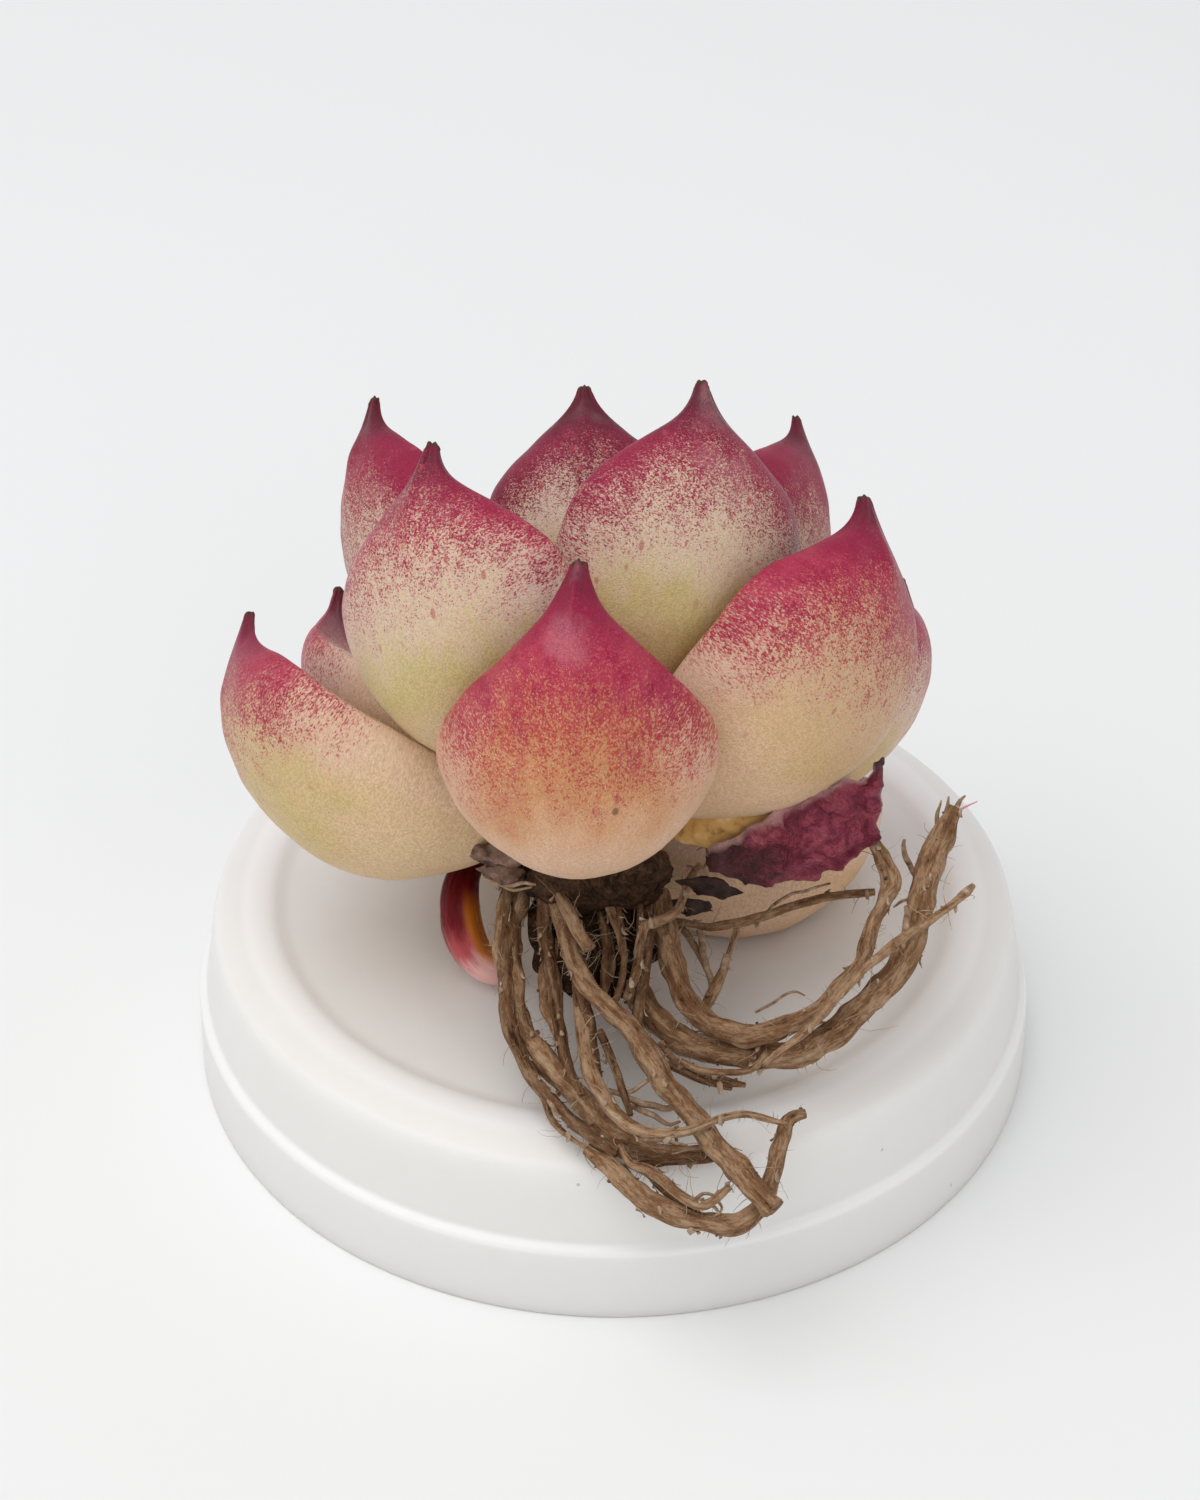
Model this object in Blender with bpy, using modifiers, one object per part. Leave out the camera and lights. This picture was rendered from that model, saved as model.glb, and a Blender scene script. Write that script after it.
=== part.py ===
"""A bare-rooted echeveria rosette that lies on an upturned frosted jar lid.

The leaves stand round the stem in one spiral, each turned by the golden angle from the last, and the whole
plant leans back on its rear leaves, so that its roots reach out over the lid's front edge.
Lengths in the tables are millimetres; MM turns them into Blender's metres.
"""

import math

import bmesh
import bpy
from mathutils import Matrix, Vector, noise
from mathutils.bvhtree import BVHTree

MM = 0.001
GAP = 0.3  # mm left between pieces that touch
NOISE_SEED = 1  # noise_vector starts from the clock otherwise, and the dried leaves would differ each time

# The upturned lid: a shallow cap with its flat panel up and its open side on the table. Its centre stands
# a little behind the origin, which is the middle of the whole object's footprint.
LID_BACK = 2.28
LID_RADIUS = 35.0  # at the skirt's foot
LID_HEIGHT = 14.2  # foot to panel
LID_TOP_RADIUS = 33.0
LID_PANEL_RADIUS = 27.7
LID_BEAD_HEIGHT = 0.7  # the rounded ring that runs round the panel
LID_STEP_HEIGHT = 6.5  # the moulded line on the skirt
LID_WALL = 1.8
LID_STEPS = 48

# The plant's place: the middle of its crown, and how far its axis leans back from upright.
CROWN = Vector((-1.0, LID_BACK - 13.4, 27.4))
LEAN_BACK = math.radians(55.0)

# The spiral of leaves, from the oldest (0) to the youngest.
GOLDEN_ANGLE = 137.5
LEAF_COUNT = 21
BUD_FROM = 14  # the leaves from here on stand closed over the growing point
LEAF_SIDES = 14
LEAF_RINGS = 12

# Half width and half thickness along a leaf, as shares of the largest, at even steps from base to tip.
# A leaf with a drop of 1 has the narrower shoulders of DROP_SHARES, and one below 0 has fuller ones.
WIDTH_SHARES = (0.14, 0.40, 0.64, 0.83, 0.95, 1.00, 1.00, 0.98, 0.91, 0.74, 0.46, 0.17, 0.05)
DROP_SHARES = (0.14, 0.40, 0.66, 0.86, 0.97, 1.00, 0.95, 0.84, 0.69, 0.50, 0.29, 0.13, 0.05)
THICKNESS_SHARES = (0.18, 0.40, 0.64, 0.85, 0.97, 1.00, 0.94, 0.84, 0.71, 0.54, 0.34, 0.16, 0.07)

# What single leaves do differently: "turn" and "lean" in degrees and millimetres, the rest in millimetres.
LEAF_CHANGES = {
    0: {"drop": 1.0, "turn": -6.2, "lean": 1.5, "height": -1.4, "slope": -3.0, "back": 0.34},
    1: {"radius": -0.5, "height": -0.5, "base_height": 0.2, "slope": 1.0, "back": 0.30},
    2: {"radius": -0.1, "slope": -3.0},
    3: {"turn": -2.5, "radius": -1.6, "height": 1.6, "base_height": 0.3},
    4: {"radius": -4.0, "height": 1.5, "slope": 6.0, "back": 0.25},
    5: {"turn": -1.0, "lean": 2.2, "height": -0.8},
    6: {"drop": -0.5, "radius": 0.7, "height": -1.5},
    7: {"radius": 1.4, "height": -2.2},
    10: {"radius": 1.3, "height": 1.6},
    11: {"drop": -0.9, "turn": -0.5, "height": 0.3},
    13: {"turn": 6.0, "height": -2.2},
}

# Leaves that have dried: the angle round the axis, then (distance from the axis, height) of base and tip.
DRIED = {
    "dried_leaf_right": {
        "turn": 67.0, "base": (8.0, -0.9), "tip": (23.0, 5.8), "slopes": (-4.0, 75.0), "twist": 38.0,
        "width": 7.0, "back": 0.09, "face": 0.06, "cup": 0.05, "crumple": 0.55, "colour": (0.27, 0.06, 0.10),
    },
    "dried_scrap_upper": {
        "turn": 93.0, "base": (5.8, -1.4), "tip": (10.8, -2.0), "slopes": (-12.0, 0.0),
        "width": 4.0, "back": 0.10, "face": 0.10, "cup": 0.05, "crumple": 0.3, "colour": (0.05, 0.03, 0.03),
    },
    "dried_scrap_lower": {
        "turn": 110.0, "base": (5.6, -2.4), "tip": (9.4, -2.7), "slopes": (-10.0, 5.0),
        "width": 3.4, "back": 0.10, "face": 0.10, "cup": 0.05, "crumple": 0.3, "colour": (0.05, 0.03, 0.03),
    },
    "old_leaf_base": {
        "turn": -88.0, "base": (5.6, -1.0), "tip": (9.6, -0.5), "slopes": (-5.0, 10.0),
        "width": 4.4, "back": 0.22, "face": 0.18, "cup": 0.0, "crumple": 0.35, "colour": (0.24, 0.13, 0.11),
    },
}

# The stem and crown, turned round the plant's axis: (height above the crown's middle, radius).
STEM_PROFILE = ((-3.6, 1.8), (-3.1, 3.2), (-2.1, 4.3), (-1.0, 4.6), (0.1, 4.0), (1.4, 3.4), (4.0, 3.0), (8.0, 2.5))
STEM_TOP = (12.0, 1.6)
STEM_SIDES = 16

# The roots' own frame: they leave the crown forwards and a little down.
# Each root is a row of (right, out, up, radius) in millimetres from ROOTS_START.
ROOTS_START = Vector((-1.0, LID_BACK - 12.7, 23.3))
ROOTS_DIP = math.radians(21.0)
ROOT_SMOOTHING = 3
ROOTS = {
    "root_left_main": (
        (-6.7, -0.4, 1.0, 1.0), (-7.2, 4.0, 0.8, 1.0), (-6.7, 8.1, 0.5, 1.0), (-6.2, 11.2, 0.3, 0.95),
        (-4.5, 13.9, 0.2, 0.9), (-2.0, 16.9, 0.2, 0.85), (0.2, 19.7, 0.2, 0.8), (2.5, 21.1, 0.1, 0.75),
        (5.3, 21.9, 0.0, 0.7), (9.1, 21.5, 0.0, 0.5),
    ),
    "root_lower_loop": (
        (-1.1, 21.4, 0.0, 0.5), (0.7, 22.8, 0.0, 0.7), (2.5, 24.8, 0.0, 0.75), (4.4, 26.1, 0.0, 0.8),
        (6.6, 27.1, 0.0, 0.8), (9.6, 27.5, 0.0, 0.75), (11.5, 26.3, 0.1, 0.7), (12.5, 24.1, 0.3, 0.65),
        (13.2, 21.8, 0.4, 0.6), (13.9, 19.4, 0.6, 0.55), (15.3, 18.8, 0.6, 0.35),
    ),
    "root_front_long": (
        (-3.5, 1.0, 2.8, 0.8), (-2.8, 4.3, 3.0, 0.75), (-2.1, 7.2, 3.1, 0.75), (-0.9, 9.4, 3.1, 0.75),
        (0.7, 11.4, 3.0, 0.8), (2.2, 12.8, 2.8, 0.85), (4.0, 15.9, 2.5, 0.85), (5.9, 18.7, 2.3, 0.85),
        (7.8, 21.1, 2.2, 0.85), (9.6, 23.6, 2.2, 0.85), (11.4, 25.8, 2.3, 0.9), (12.6, 27.2, 2.3, 0.95),
    ),
    "root_fine_pale": (
        (-1.8, 1.9, 1.0, 0.7), (-1.7, 4.8, 1.0, 0.7), (-1.5, 8.6, 1.1, 0.7), (-1.3, 12.2, 1.3, 0.65),
        (-0.9, 15.4, 1.8, 0.6), (0.2, 18.4, 2.4, 0.55), (1.8, 20.7, 3.0, 0.5), (3.4, 21.8, 3.6, 0.42),
        (6.2, 21.8, 3.9, 0.34), (9.0, 20.6, 3.7, 0.28), (11.0, 20.2, 3.4, 0.24), (13.7, 20.9, 3.1, 0.2),
    ),
    "root_front_stub": ((-2.8, 3.1, 4.7, 0.4), (-1.9, 5.1, 4.8, 0.5), (-0.9, 7.0, 4.8, 0.45)),
    "root_right_inner": (
        (4.7, 2.3, 1.5, 0.9), (5.5, 6.7, 1.5, 0.9), (6.3, 9.3, 1.7, 0.9), (7.3, 11.2, 2.1, 0.85),
        (8.5, 12.5, 2.6, 0.85), (11.1, 13.7, 3.5, 0.8), (13.9, 13.4, 4.5, 0.75), (16.1, 12.6, 5.2, 0.7),
        (17.9, 11.0, 6.0, 0.65), (19.3, 9.6, 6.7, 0.6), (20.3, 6.7, 7.6, 0.55), (21.3, 4.8, 8.2, 0.6),
        (21.8, 3.6, 8.5, 0.7), (21.2, 1.5, 8.8, 0.6), (20.4, -0.6, 9.0, 0.35),
    ),
    "root_right_outer": (
        (1.7, 1.5, -0.3, 1.0), (2.0, 5.4, -0.2, 1.0), (3.1, 9.0, 0.0, 1.0), (4.6, 11.2, 0.1, 1.0),
        (6.7, 12.7, 0.3, 1.0), (9.3, 13.7, 0.6, 1.0), (11.9, 14.4, 1.3, 1.0), (14.9, 14.5, 2.3, 1.0),
        (17.9, 13.2, 3.6, 1.0), (20.2, 11.4, 4.8, 1.0), (21.9, 10.0, 5.8, 1.0), (23.2, 7.9, 6.9, 1.0),
        (24.0, 4.9, 7.9, 1.0), (24.7, 2.2, 8.8, 0.95), (25.7, 0.0, 9.7, 0.9), (26.8, -2.0, 10.4, 0.6),
    ),
    "root_twig": (
        (12.1, 16.2, 3.8, 0.25), (15.2, 14.5, 6.0, 0.32), (18.7, 11.3, 7.9, 0.35), (22.1, 8.6, 8.8, 0.35),
        (24.4, 7.2, 9.3, 0.32), (27.3, 5.1, 10.0, 0.28),
    ),
    "root_thin_dark": (
        (7.4, 2.1, -0.3, 0.3), (9.0, 2.3, -0.2, 0.35), (12.3, 1.7, 0.2, 0.35), (15.9, 0.4, 0.3, 0.33),
        (18.5, 0.0, 0.6, 0.33), (21.3, 0.0, 1.2, 0.25),
    ),
    "root_small_lower": ((5.6, 14.4, 0.5, 0.3), (7.2, 15.1, 0.3, 0.35), (9.3, 15.9, 0.2, 0.35), (10.0, 16.3, 0.2, 0.2)),
    "root_small_upper": ((7.5, 15.8, 1.9, 0.25), (10.9, 15.9, 2.0, 0.28), (12.0, 15.0, 2.9, 0.2)),
    "root_behind_long": ((10.0, 4.2, -0.5, 0.25), (9.0, 7.0, -0.5, 0.4), (8.3, 8.6, -0.4, 0.35)),
    "root_behind_short": ((7.5, 3.7, -1.5, 0.28), (8.4, 5.6, -1.7, 0.28)),
    "root_left_thin": ((-5.2, 15.4, -0.1, 0.2), (-4.4, 17.0, -0.1, 0.25), (-3.7, 19.0, 0.0, 0.25), (-2.2, 20.6, 0.1, 0.2)),
    "root_tangle": (
        (2.2, 23.3, 1.5, 0.3), (3.5, 23.8, 1.5, 0.4), (4.9, 25.1, 1.5, 0.4), (6.4, 26.3, 1.6, 0.4),
        (7.7, 26.6, 1.6, 0.35), (8.5, 25.9, 1.4, 0.25),
    ),
    "root_centre_fine": ((0.7, 2.5, 3.4, 0.4), (1.5, 5.3, 3.4, 0.35), (1.6, 6.3, 3.3, 0.25)),
    "root_centre_inner": ((0.5, 4.5, 1.6, 0.4), (0.7, 6.7, 1.6, 0.4), (0.2, 8.7, 1.7, 0.3)),
    "root_centre_bent": (
        (6.0, 1.0, 3.2, 0.3), (5.6, 3.3, 3.4, 0.38), (3.2, 4.6, 3.4, 0.42), (2.7, 7.6, 2.6, 0.35), (1.9, 10.0, 2.3, 0.3),
    ),
    "root_left_inner": ((-4.3, 0.4, 0.4, 0.8), (-3.9, 4.6, 0.5, 0.8), (-4.1, 8.9, 0.5, 0.75), (-3.5, 11.0, 0.5, 0.6), (-2.9, 12.6, 0.4, 0.4)),
}

# The shrivelled red leaf that hooks down to the lid at the left, in millimetres: (x, y from the lid, z, radius).
HOOK = (
    (-10.4, -6.6, 23.6, 0.7), (-12.0, -8.4, 21.9, 1.3), (-12.2, -10.4, 19.6, 1.55), (-11.2, -12.1, 17.4, 1.5),
    (-9.6, -12.7, 16.3, 1.35), (-8.4, -12.2, 16.5, 0.9),
)


def leaf_form(index):
    """Where a leaf starts and ends, as (distance from the axis, height above the crown), and how it grows."""
    if index >= BUD_FROM:
        return bud_form(index - BUD_FROM)
    change = LEAF_CHANGES.get(index, {})
    radius = 28.0 - 0.098 * index**2 + change.get("radius", 0.0)
    height = 15.2 + 2.5 * index - 0.061 * index**2 + change.get("height", 0.0)
    return {
        "turn": GOLDEN_ANGLE * index + change.get("turn", 0.0),
        "base": (4.6 - 0.12 * index, 1.5 + 0.9 * index + change.get("base_height", 0.0)),
        "tip": (radius, height),
        "slopes": (-12.0 + 5.0 * index + change.get("slope", 0.0), 98.0),
        "width": 20.7 - 0.027 * index**2,
        "lean": change.get("lean", 0.0),
        "drop": change.get("drop", 0.0),
        "back": change.get("back", 0.32 - 0.006 * index),
        "face": 0.12 - 0.003 * index,
        "cup": 0.10,
    }


def bud_form(young):
    """A leaf of the closed bud: nearly upright, close to the axis."""
    return {
        "turn": GOLDEN_ANGLE * (BUD_FROM + young),
        "base": (2.4 - 0.25 * young, 13.0 + 0.6 * young),
        "tip": (7.4 - 1.0 * young, 34.5 - 1.1 * young),
        "slopes": (62.0 + 3.0 * young, 102.0),
        "width": 13.5 - 1.4 * young,
        "back": 0.22,
        "face": 0.08,
        "cup": 0.12,
    }


def material(name, colour, roughness):
    made = bpy.data.materials.new(name)
    made.use_nodes = True
    shader = made.node_tree.nodes["Principled BSDF"]
    shader.inputs["Base Color"].default_value = (*colour, 1.0)
    shader.inputs["Roughness"].default_value = roughness
    shader.inputs["Metallic"].default_value = 0.0
    return made


def new_object(name, data, collection, colour, roughness=0.5):
    piece = bpy.data.objects.new(name, data)
    collection.objects.link(piece)
    data.materials.append(material(name, colour, roughness))
    return piece


def plant_frame():
    """Local X is the plant's right, Y its front (the roots' side), Z along its axis from crown to tips."""
    axis = Vector((0.0, math.sin(LEAN_BACK), math.cos(LEAN_BACK)))
    front = Vector((0.0, -math.cos(LEAN_BACK), math.sin(LEAN_BACK)))
    turned = Matrix((Vector((1.0, 0.0, 0.0)), front, axis)).transposed().to_4x4()
    return Matrix.Scale(MM, 4) @ Matrix.Translation(CROWN) @ turned


def roots_frame():
    """Local X is right, Y out along the roots, Z up from them."""
    out = Vector((0.0, -math.cos(ROOTS_DIP), -math.sin(ROOTS_DIP)))
    up = Vector((0.0, -math.sin(ROOTS_DIP), math.cos(ROOTS_DIP)))
    turned = Matrix((Vector((1.0, 0.0, 0.0)), out, up)).transposed().to_4x4()
    return Matrix.Scale(MM, 4) @ Matrix.Translation(ROOTS_START) @ turned


def share_at(shares, along):
    """A value of a profile at a place from 0 to 1, on a smooth curve through its even steps."""
    place = along * (len(shares) - 1)
    step = min(int(place), len(shares) - 2)
    before, low = shares[max(step - 1, 0)], shares[step]
    high, after = shares[step + 1], shares[min(step + 2, len(shares) - 1)]
    return through(before, low, high, after, place - step)


def through(before, low, high, after, part):
    """The Catmull-Rom curve between low and high, for numbers or vectors."""
    square, cube = part * part, part**3
    rise_low, rise_high = (high - before) * 0.5, (after - low) * 0.5
    start = low * (2 * cube - 3 * square + 1) + rise_low * (cube - 2 * square + part)
    return start + high * (3 * square - 2 * cube) + rise_high * (cube - square)


def direction_of(degrees):
    return Vector((math.cos(math.radians(degrees)), math.sin(math.radians(degrees))))


def leaf_spine(form):
    """The four points of the Bezier curve that a leaf's middle follows in the plane of the axis."""
    base, tip = Vector(form["base"]), Vector(form["tip"])
    reach = (tip - base).length
    start, end = (direction_of(slope) for slope in form["slopes"])
    return base, base + start * reach * 0.45, tip - end * reach * 0.38, tip


def on_spine(spine, along):
    """(place, direction) on the Bezier curve."""
    start, first, second, end = spine
    rest = 1 - along
    place = rest**3 * start + 3 * rest**2 * along * first + 3 * rest * along**2 * second + along**3 * end
    course = rest**2 * (first - start) + 2 * rest * along * (second - first) + along**2 * (end - second)
    return place, course.normalized()


def leaf_point(form, spine, along, side, swell):
    """A point on a leaf's skin, in the plant's frame and in millimetres.

    side runs from -1 to 1 across the leaf and swell from -1 (its inner face) to 1 (its back).
    """
    place, course = on_spine(spine, along)
    outward = Vector((course.y, -course.x))
    width_share = share_at(WIDTH_SHARES, along)
    width_share += (share_at(DROP_SHARES, along) - width_share) * form.get("drop", 0.0)
    across = form["width"] / 2 * width_share * side
    bulge = form["back"] if swell > 0 else form["face"]
    thickness = form["width"] * bulge * share_at(THICKNESS_SHARES, along) * swell
    lift = form["cup"] * form["width"] * width_share * side * side
    twist = math.radians(form.get("twist", 0.0))
    radial, height = place + outward * (thickness * math.cos(twist) - lift + across * math.sin(twist))
    turn = math.radians(form["turn"])
    forward = Vector((math.sin(turn), math.cos(turn), 0.0))
    sideways = Vector((math.cos(turn), -math.sin(turn), 0.0))
    across = across * math.cos(twist) - thickness * math.sin(twist) + form.get("lean", 0.0) * along**2
    return forward * radial + sideways * across + Vector((0.0, 0.0, height))


def ring_place(ring):
    """How far along the leaf a ring of the sphere lies: the rings close up towards the pointed tip."""
    return 1 - (1 - ring / LEAF_RINGS) ** 1.35


def build_leaf(name, form, collection, colour):
    """A leaf: a round primitive whose rings are drawn out along the leaf's middle line."""
    spine = leaf_spine(form)
    crumple = form.get("crumple", 0.0)
    to_world = plant_frame()
    shape = bmesh.new()
    bmesh.ops.create_uvsphere(shape, u_segments=LEAF_SIDES, v_segments=LEAF_RINGS, radius=1.0)
    for vertex in shape.verts:
        ring = round(math.acos(max(-1.0, min(1.0, -vertex.co.z))) / math.pi * LEAF_RINGS)
        round_the_axis = Vector((vertex.co.x, vertex.co.y))
        if round_the_axis.length > 0.01:
            round_the_axis.normalize()
        else:
            round_the_axis = Vector((0.0, 0.0))
        spot = leaf_point(form, spine, ring_place(ring), round_the_axis.x, round_the_axis.y)
        if crumple:
            spot += noise.noise_vector(spot * 0.45) * crumple
        vertex.co = to_world @ spot
    facing_out(shape)
    mesh = bpy.data.meshes.new(name)
    shape.to_mesh(mesh)
    shape.free()
    mesh.shade_smooth()
    return new_object(name, mesh, collection, colour)


def facing_out(shape):
    bmesh.ops.recalc_face_normals(shape, faces=shape.faces)
    if shape.calc_volume(signed=True) < 0:
        bmesh.ops.reverse_faces(shape, faces=shape.faces)


def build_lid(collection):
    """The lid, turned from a profile that runs from the panel's middle out, down the skirt and back inside."""
    outside = [
        (0.0, LID_HEIGHT),
        (LID_PANEL_RADIUS, LID_HEIGHT),
        (LID_PANEL_RADIUS + 0.8, LID_HEIGHT + LID_BEAD_HEIGHT),
        (LID_PANEL_RADIUS + 2.2, LID_HEIGHT + LID_BEAD_HEIGHT),
        (LID_TOP_RADIUS - 1.0, LID_HEIGHT),
        (LID_TOP_RADIUS, LID_HEIGHT - 0.8),
        (LID_RADIUS - 0.8, LID_STEP_HEIGHT + 0.4),
        (LID_RADIUS - 0.2, LID_STEP_HEIGHT),
        (LID_RADIUS, 0.0),
    ]
    inside = [
        (LID_RADIUS - LID_WALL, 0.0),
        (LID_TOP_RADIUS - LID_WALL, LID_HEIGHT - LID_WALL - 1.2),
        (LID_TOP_RADIUS - LID_WALL - 1.2, LID_HEIGHT - LID_WALL),
        (0.0, LID_HEIGHT - LID_WALL),
    ]
    profile = outside + inside
    mesh = bpy.data.meshes.new("frosted_lid")
    edges = [(step, step + 1) for step in range(len(profile) - 1)]
    mesh.from_pydata([(radius * MM, 0.0, height * MM) for radius, height in profile], edges, [])
    lid = new_object("frosted_lid", mesh, collection, (0.92, 0.92, 0.91), 0.35)
    lid.location = (0.0, LID_BACK * MM, 0.0)
    turned = lid.modifiers.new("turned", "SCREW")
    turned.steps = LID_STEPS
    turned.render_steps = LID_STEPS
    turned.use_merge_vertices = True
    turned.merge_threshold = 0.00001
    turned.use_smooth_shade = True
    return lid


def build_stem(collection):
    """The knobbly crown and the stem the leaves stand round, with a pole at each end."""
    rings = (*STEM_PROFILE, STEM_TOP)
    to_world = plant_frame()
    shape = bmesh.new()
    bmesh.ops.create_uvsphere(shape, u_segments=STEM_SIDES, v_segments=len(rings) + 1, radius=1.0)
    for vertex in shape.verts:
        ring = round(math.acos(max(-1.0, min(1.0, -vertex.co.z))) / math.pi * (len(rings) + 1))
        angle = math.atan2(vertex.co.y, vertex.co.x)
        if 0 < ring <= len(rings):
            height, radius = rings[ring - 1]
        else:
            height, radius = (rings[0][0] - 0.5, 0.0) if ring == 0 else (rings[-1][0] + 0.4, 0.0)
        knobs = 1.0 + 0.10 * math.sin(3 * angle + height) + 0.06 * math.sin(5 * angle - 2 * height)
        if height > 0.5:
            knobs = 1.0
        vertex.co = Vector((math.cos(angle) * radius * knobs * 1.08, math.sin(angle) * radius * knobs * 0.9, height))
    shape.transform(to_world)
    facing_out(shape)
    mesh = bpy.data.meshes.new("crown_and_stem")
    shape.to_mesh(mesh)
    shape.free()
    mesh.shade_smooth()
    return new_object("crown_and_stem", mesh, collection, (0.20, 0.13, 0.09), 0.8)


def smooth_row(row, steps):
    """A row of vectors with more in between, on the smooth curve through them."""
    points = [Vector(point) for point in row]
    smooth = []
    for place in range(len(points) - 1):
        before = points[max(place - 1, 0)]
        after = points[min(place + 2, len(points) - 1)]
        for step in range(steps):
            smooth.append(through(before, points[place], points[place + 1], after, step / steps))
    return [*smooth, points[-1]]


def build_tube(name, row, to_world, collection, colour, steps=ROOT_SMOOTHING):
    """A round tube of changing thickness along a row of (x, y, z, radius)."""
    curve = bpy.data.curves.new(name, "CURVE")
    curve.dimensions = "3D"
    curve.bevel_depth = MM
    curve.bevel_resolution = 2
    curve.use_fill_caps = True
    spline = curve.splines.new("POLY")
    points = smooth_row(row, steps)
    spline.points.add(len(points) - 1)
    for target, point in zip(spline.points, points):
        target.co = (*(to_world @ point.to_3d()), 1.0)
        target.radius = max(point[3], 0.1)
    spline.use_smooth = True
    return new_object(name, curve, collection, colour, 0.85)


def clear_of(row, stem, to_world):
    """A root's row without the points that lie inside the crown, so that the root starts at its skin."""
    tree = tree_of(stem)
    kept = []
    for point in smooth_row(row, 2):
        place = to_world @ point.to_3d()
        spot, normal, _, distance = tree.find_nearest(place)
        outside = (place - spot).dot(normal) > 0
        if kept or (outside and distance > (point[3] + GAP) * MM):
            kept.append(tuple(point))
    return kept


def tree_of(piece):
    """A search tree over a piece's finished surface, in the world."""
    finished = piece.evaluated_get(bpy.context.evaluated_depsgraph_get())
    mesh = finished.to_mesh()
    places = [piece.matrix_world @ vertex.co for vertex in mesh.vertices]
    faces = [tuple(face.vertices) for face in mesh.polygons]
    finished.to_mesh_clear()
    return BVHTree.FromPolygons(places, faces)


def rest_on_lid(leaf):
    """Press flat whatever of a leaf would reach down into the lid it lies on."""
    for vertex in leaf.data.vertices:
        from_middle = math.hypot(vertex.co.x / MM, vertex.co.y / MM - LID_BACK)
        on_panel = from_middle < LID_PANEL_RADIUS - 0.8
        lowest = LID_HEIGHT + GAP + (0.0 if on_panel else LID_BEAD_HEIGHT)
        vertex.co.z = max(vertex.co.z, lowest * MM)
    leaf.data.update()


def swollen_copy(piece, by):
    """A mesh copy of a piece, grown on all sides, to cut its neighbours with."""
    finished = piece.evaluated_get(bpy.context.evaluated_depsgraph_get())
    mesh = bpy.data.meshes.new_from_object(finished)
    grown = [vertex.co + vertex.normal * by * MM for vertex in mesh.vertices]
    for vertex, place in zip(mesh.vertices, grown):
        vertex.co = place
    copy = bpy.data.objects.new(piece.name + "_cutter", mesh)
    copy.matrix_world = piece.matrix_world
    bpy.context.scene.collection.objects.link(copy)
    return copy


def trim(piece, cutters):
    """Cut away what a younger piece shares with the older ones round it, and keep its one main body."""
    for cutter in cutters:
        cut = piece.modifiers.new("cut", "BOOLEAN")
        cut.object = cutter
        cut.operation = "DIFFERENCE"
        cut.solver = "EXACT"
    finished = piece.evaluated_get(bpy.context.evaluated_depsgraph_get())
    shape = bmesh.new()
    shape.from_mesh(finished.to_mesh())
    finished.to_mesh_clear()
    bmesh.ops.remove_doubles(shape, verts=shape.verts, dist=0.02 * MM)
    bmesh.ops.triangulate(shape, faces=shape.faces)
    keep_largest(shape)
    shape.to_mesh(piece.data)
    shape.free()
    piece.modifiers.clear()


def keep_largest(shape):
    """Delete all but the biggest of a mesh's separate bodies."""
    unseen = set(shape.verts)
    bodies = []
    while unseen:
        body = {unseen.pop()}
        edge_of_search = list(body)
        while edge_of_search:
            vertex = edge_of_search.pop()
            for edge in vertex.link_edges:
                other = edge.other_vert(vertex)
                if other in unseen:
                    unseen.remove(other)
                    body.add(other)
                    edge_of_search.append(other)
        bodies.append(body)
    bodies.sort(key=len)
    spare = [vertex for body in bodies[:-1] for vertex in body]
    bmesh.ops.delete(shape, geom=spare, context="VERTS")


def touching(tree, others):
    return [cutter for cutter, cutter_tree in others if tree.overlap(cutter_tree)]


def main():
    for old in list(bpy.data.objects):
        bpy.data.objects.remove(old)
    noise.seed_set(NOISE_SEED)
    collection = bpy.data.collections.new("potted_succulent")
    bpy.context.scene.collection.children.link(collection)
    build_lid(collection)
    stem = build_stem(collection)
    leaves = []
    for index in range(LEAF_COUNT):
        leaves.append(build_leaf(f"leaf_{index + 1:02d}", leaf_form(index), collection, (0.80, 0.47, 0.42)))
    fixed = [stem]
    for name, form in DRIED.items():
        fixed.append(build_leaf(name, form, collection, form["colour"]))
    from_lid = Matrix.Scale(MM, 4) @ Matrix.Translation((0.0, LID_BACK, 0.0))
    fixed.append(build_tube("dried_leaf_hook", HOOK, from_lid, collection, (0.45, 0.05, 0.08)))
    bpy.context.view_layer.update()
    for name, row in ROOTS.items():
        kept = clear_of(row, stem, roots_frame())
        fixed.append(build_tube(name, kept, roots_frame(), collection, (0.33, 0.23, 0.16), 1))
    bpy.context.view_layer.update()
    cutters = []
    for piece in fixed:
        cutter = swollen_copy(piece, GAP)
        cutters.append((cutter, tree_of(cutter)))
    for leaf in leaves:
        rest_on_lid(leaf)
        bpy.context.view_layer.update()
        cutter = swollen_copy(leaf, GAP)
        trim(leaf, touching(tree_of(leaf), cutters))
        bpy.context.view_layer.update()
        cutters.append((cutter, tree_of(cutter)))
    for cutter, _ in cutters:
        bpy.data.objects.remove(cutter)


main()
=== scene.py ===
"""Looks for a bare-rooted echeveria rosette that lies on an upturned frosted jar lid.

The leaves stand round the stem in one spiral and the plant leans back, so that its roots reach out over the
front edge of the lid. Lengths in the tables are millimetres; MM turns them into Blender's metres.
"""

import math
import random

import bpy
import numpy as np
from bpy.props import FloatProperty, FloatVectorProperty, IntProperty, PointerProperty
from mathutils import Matrix, Vector, noise


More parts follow.
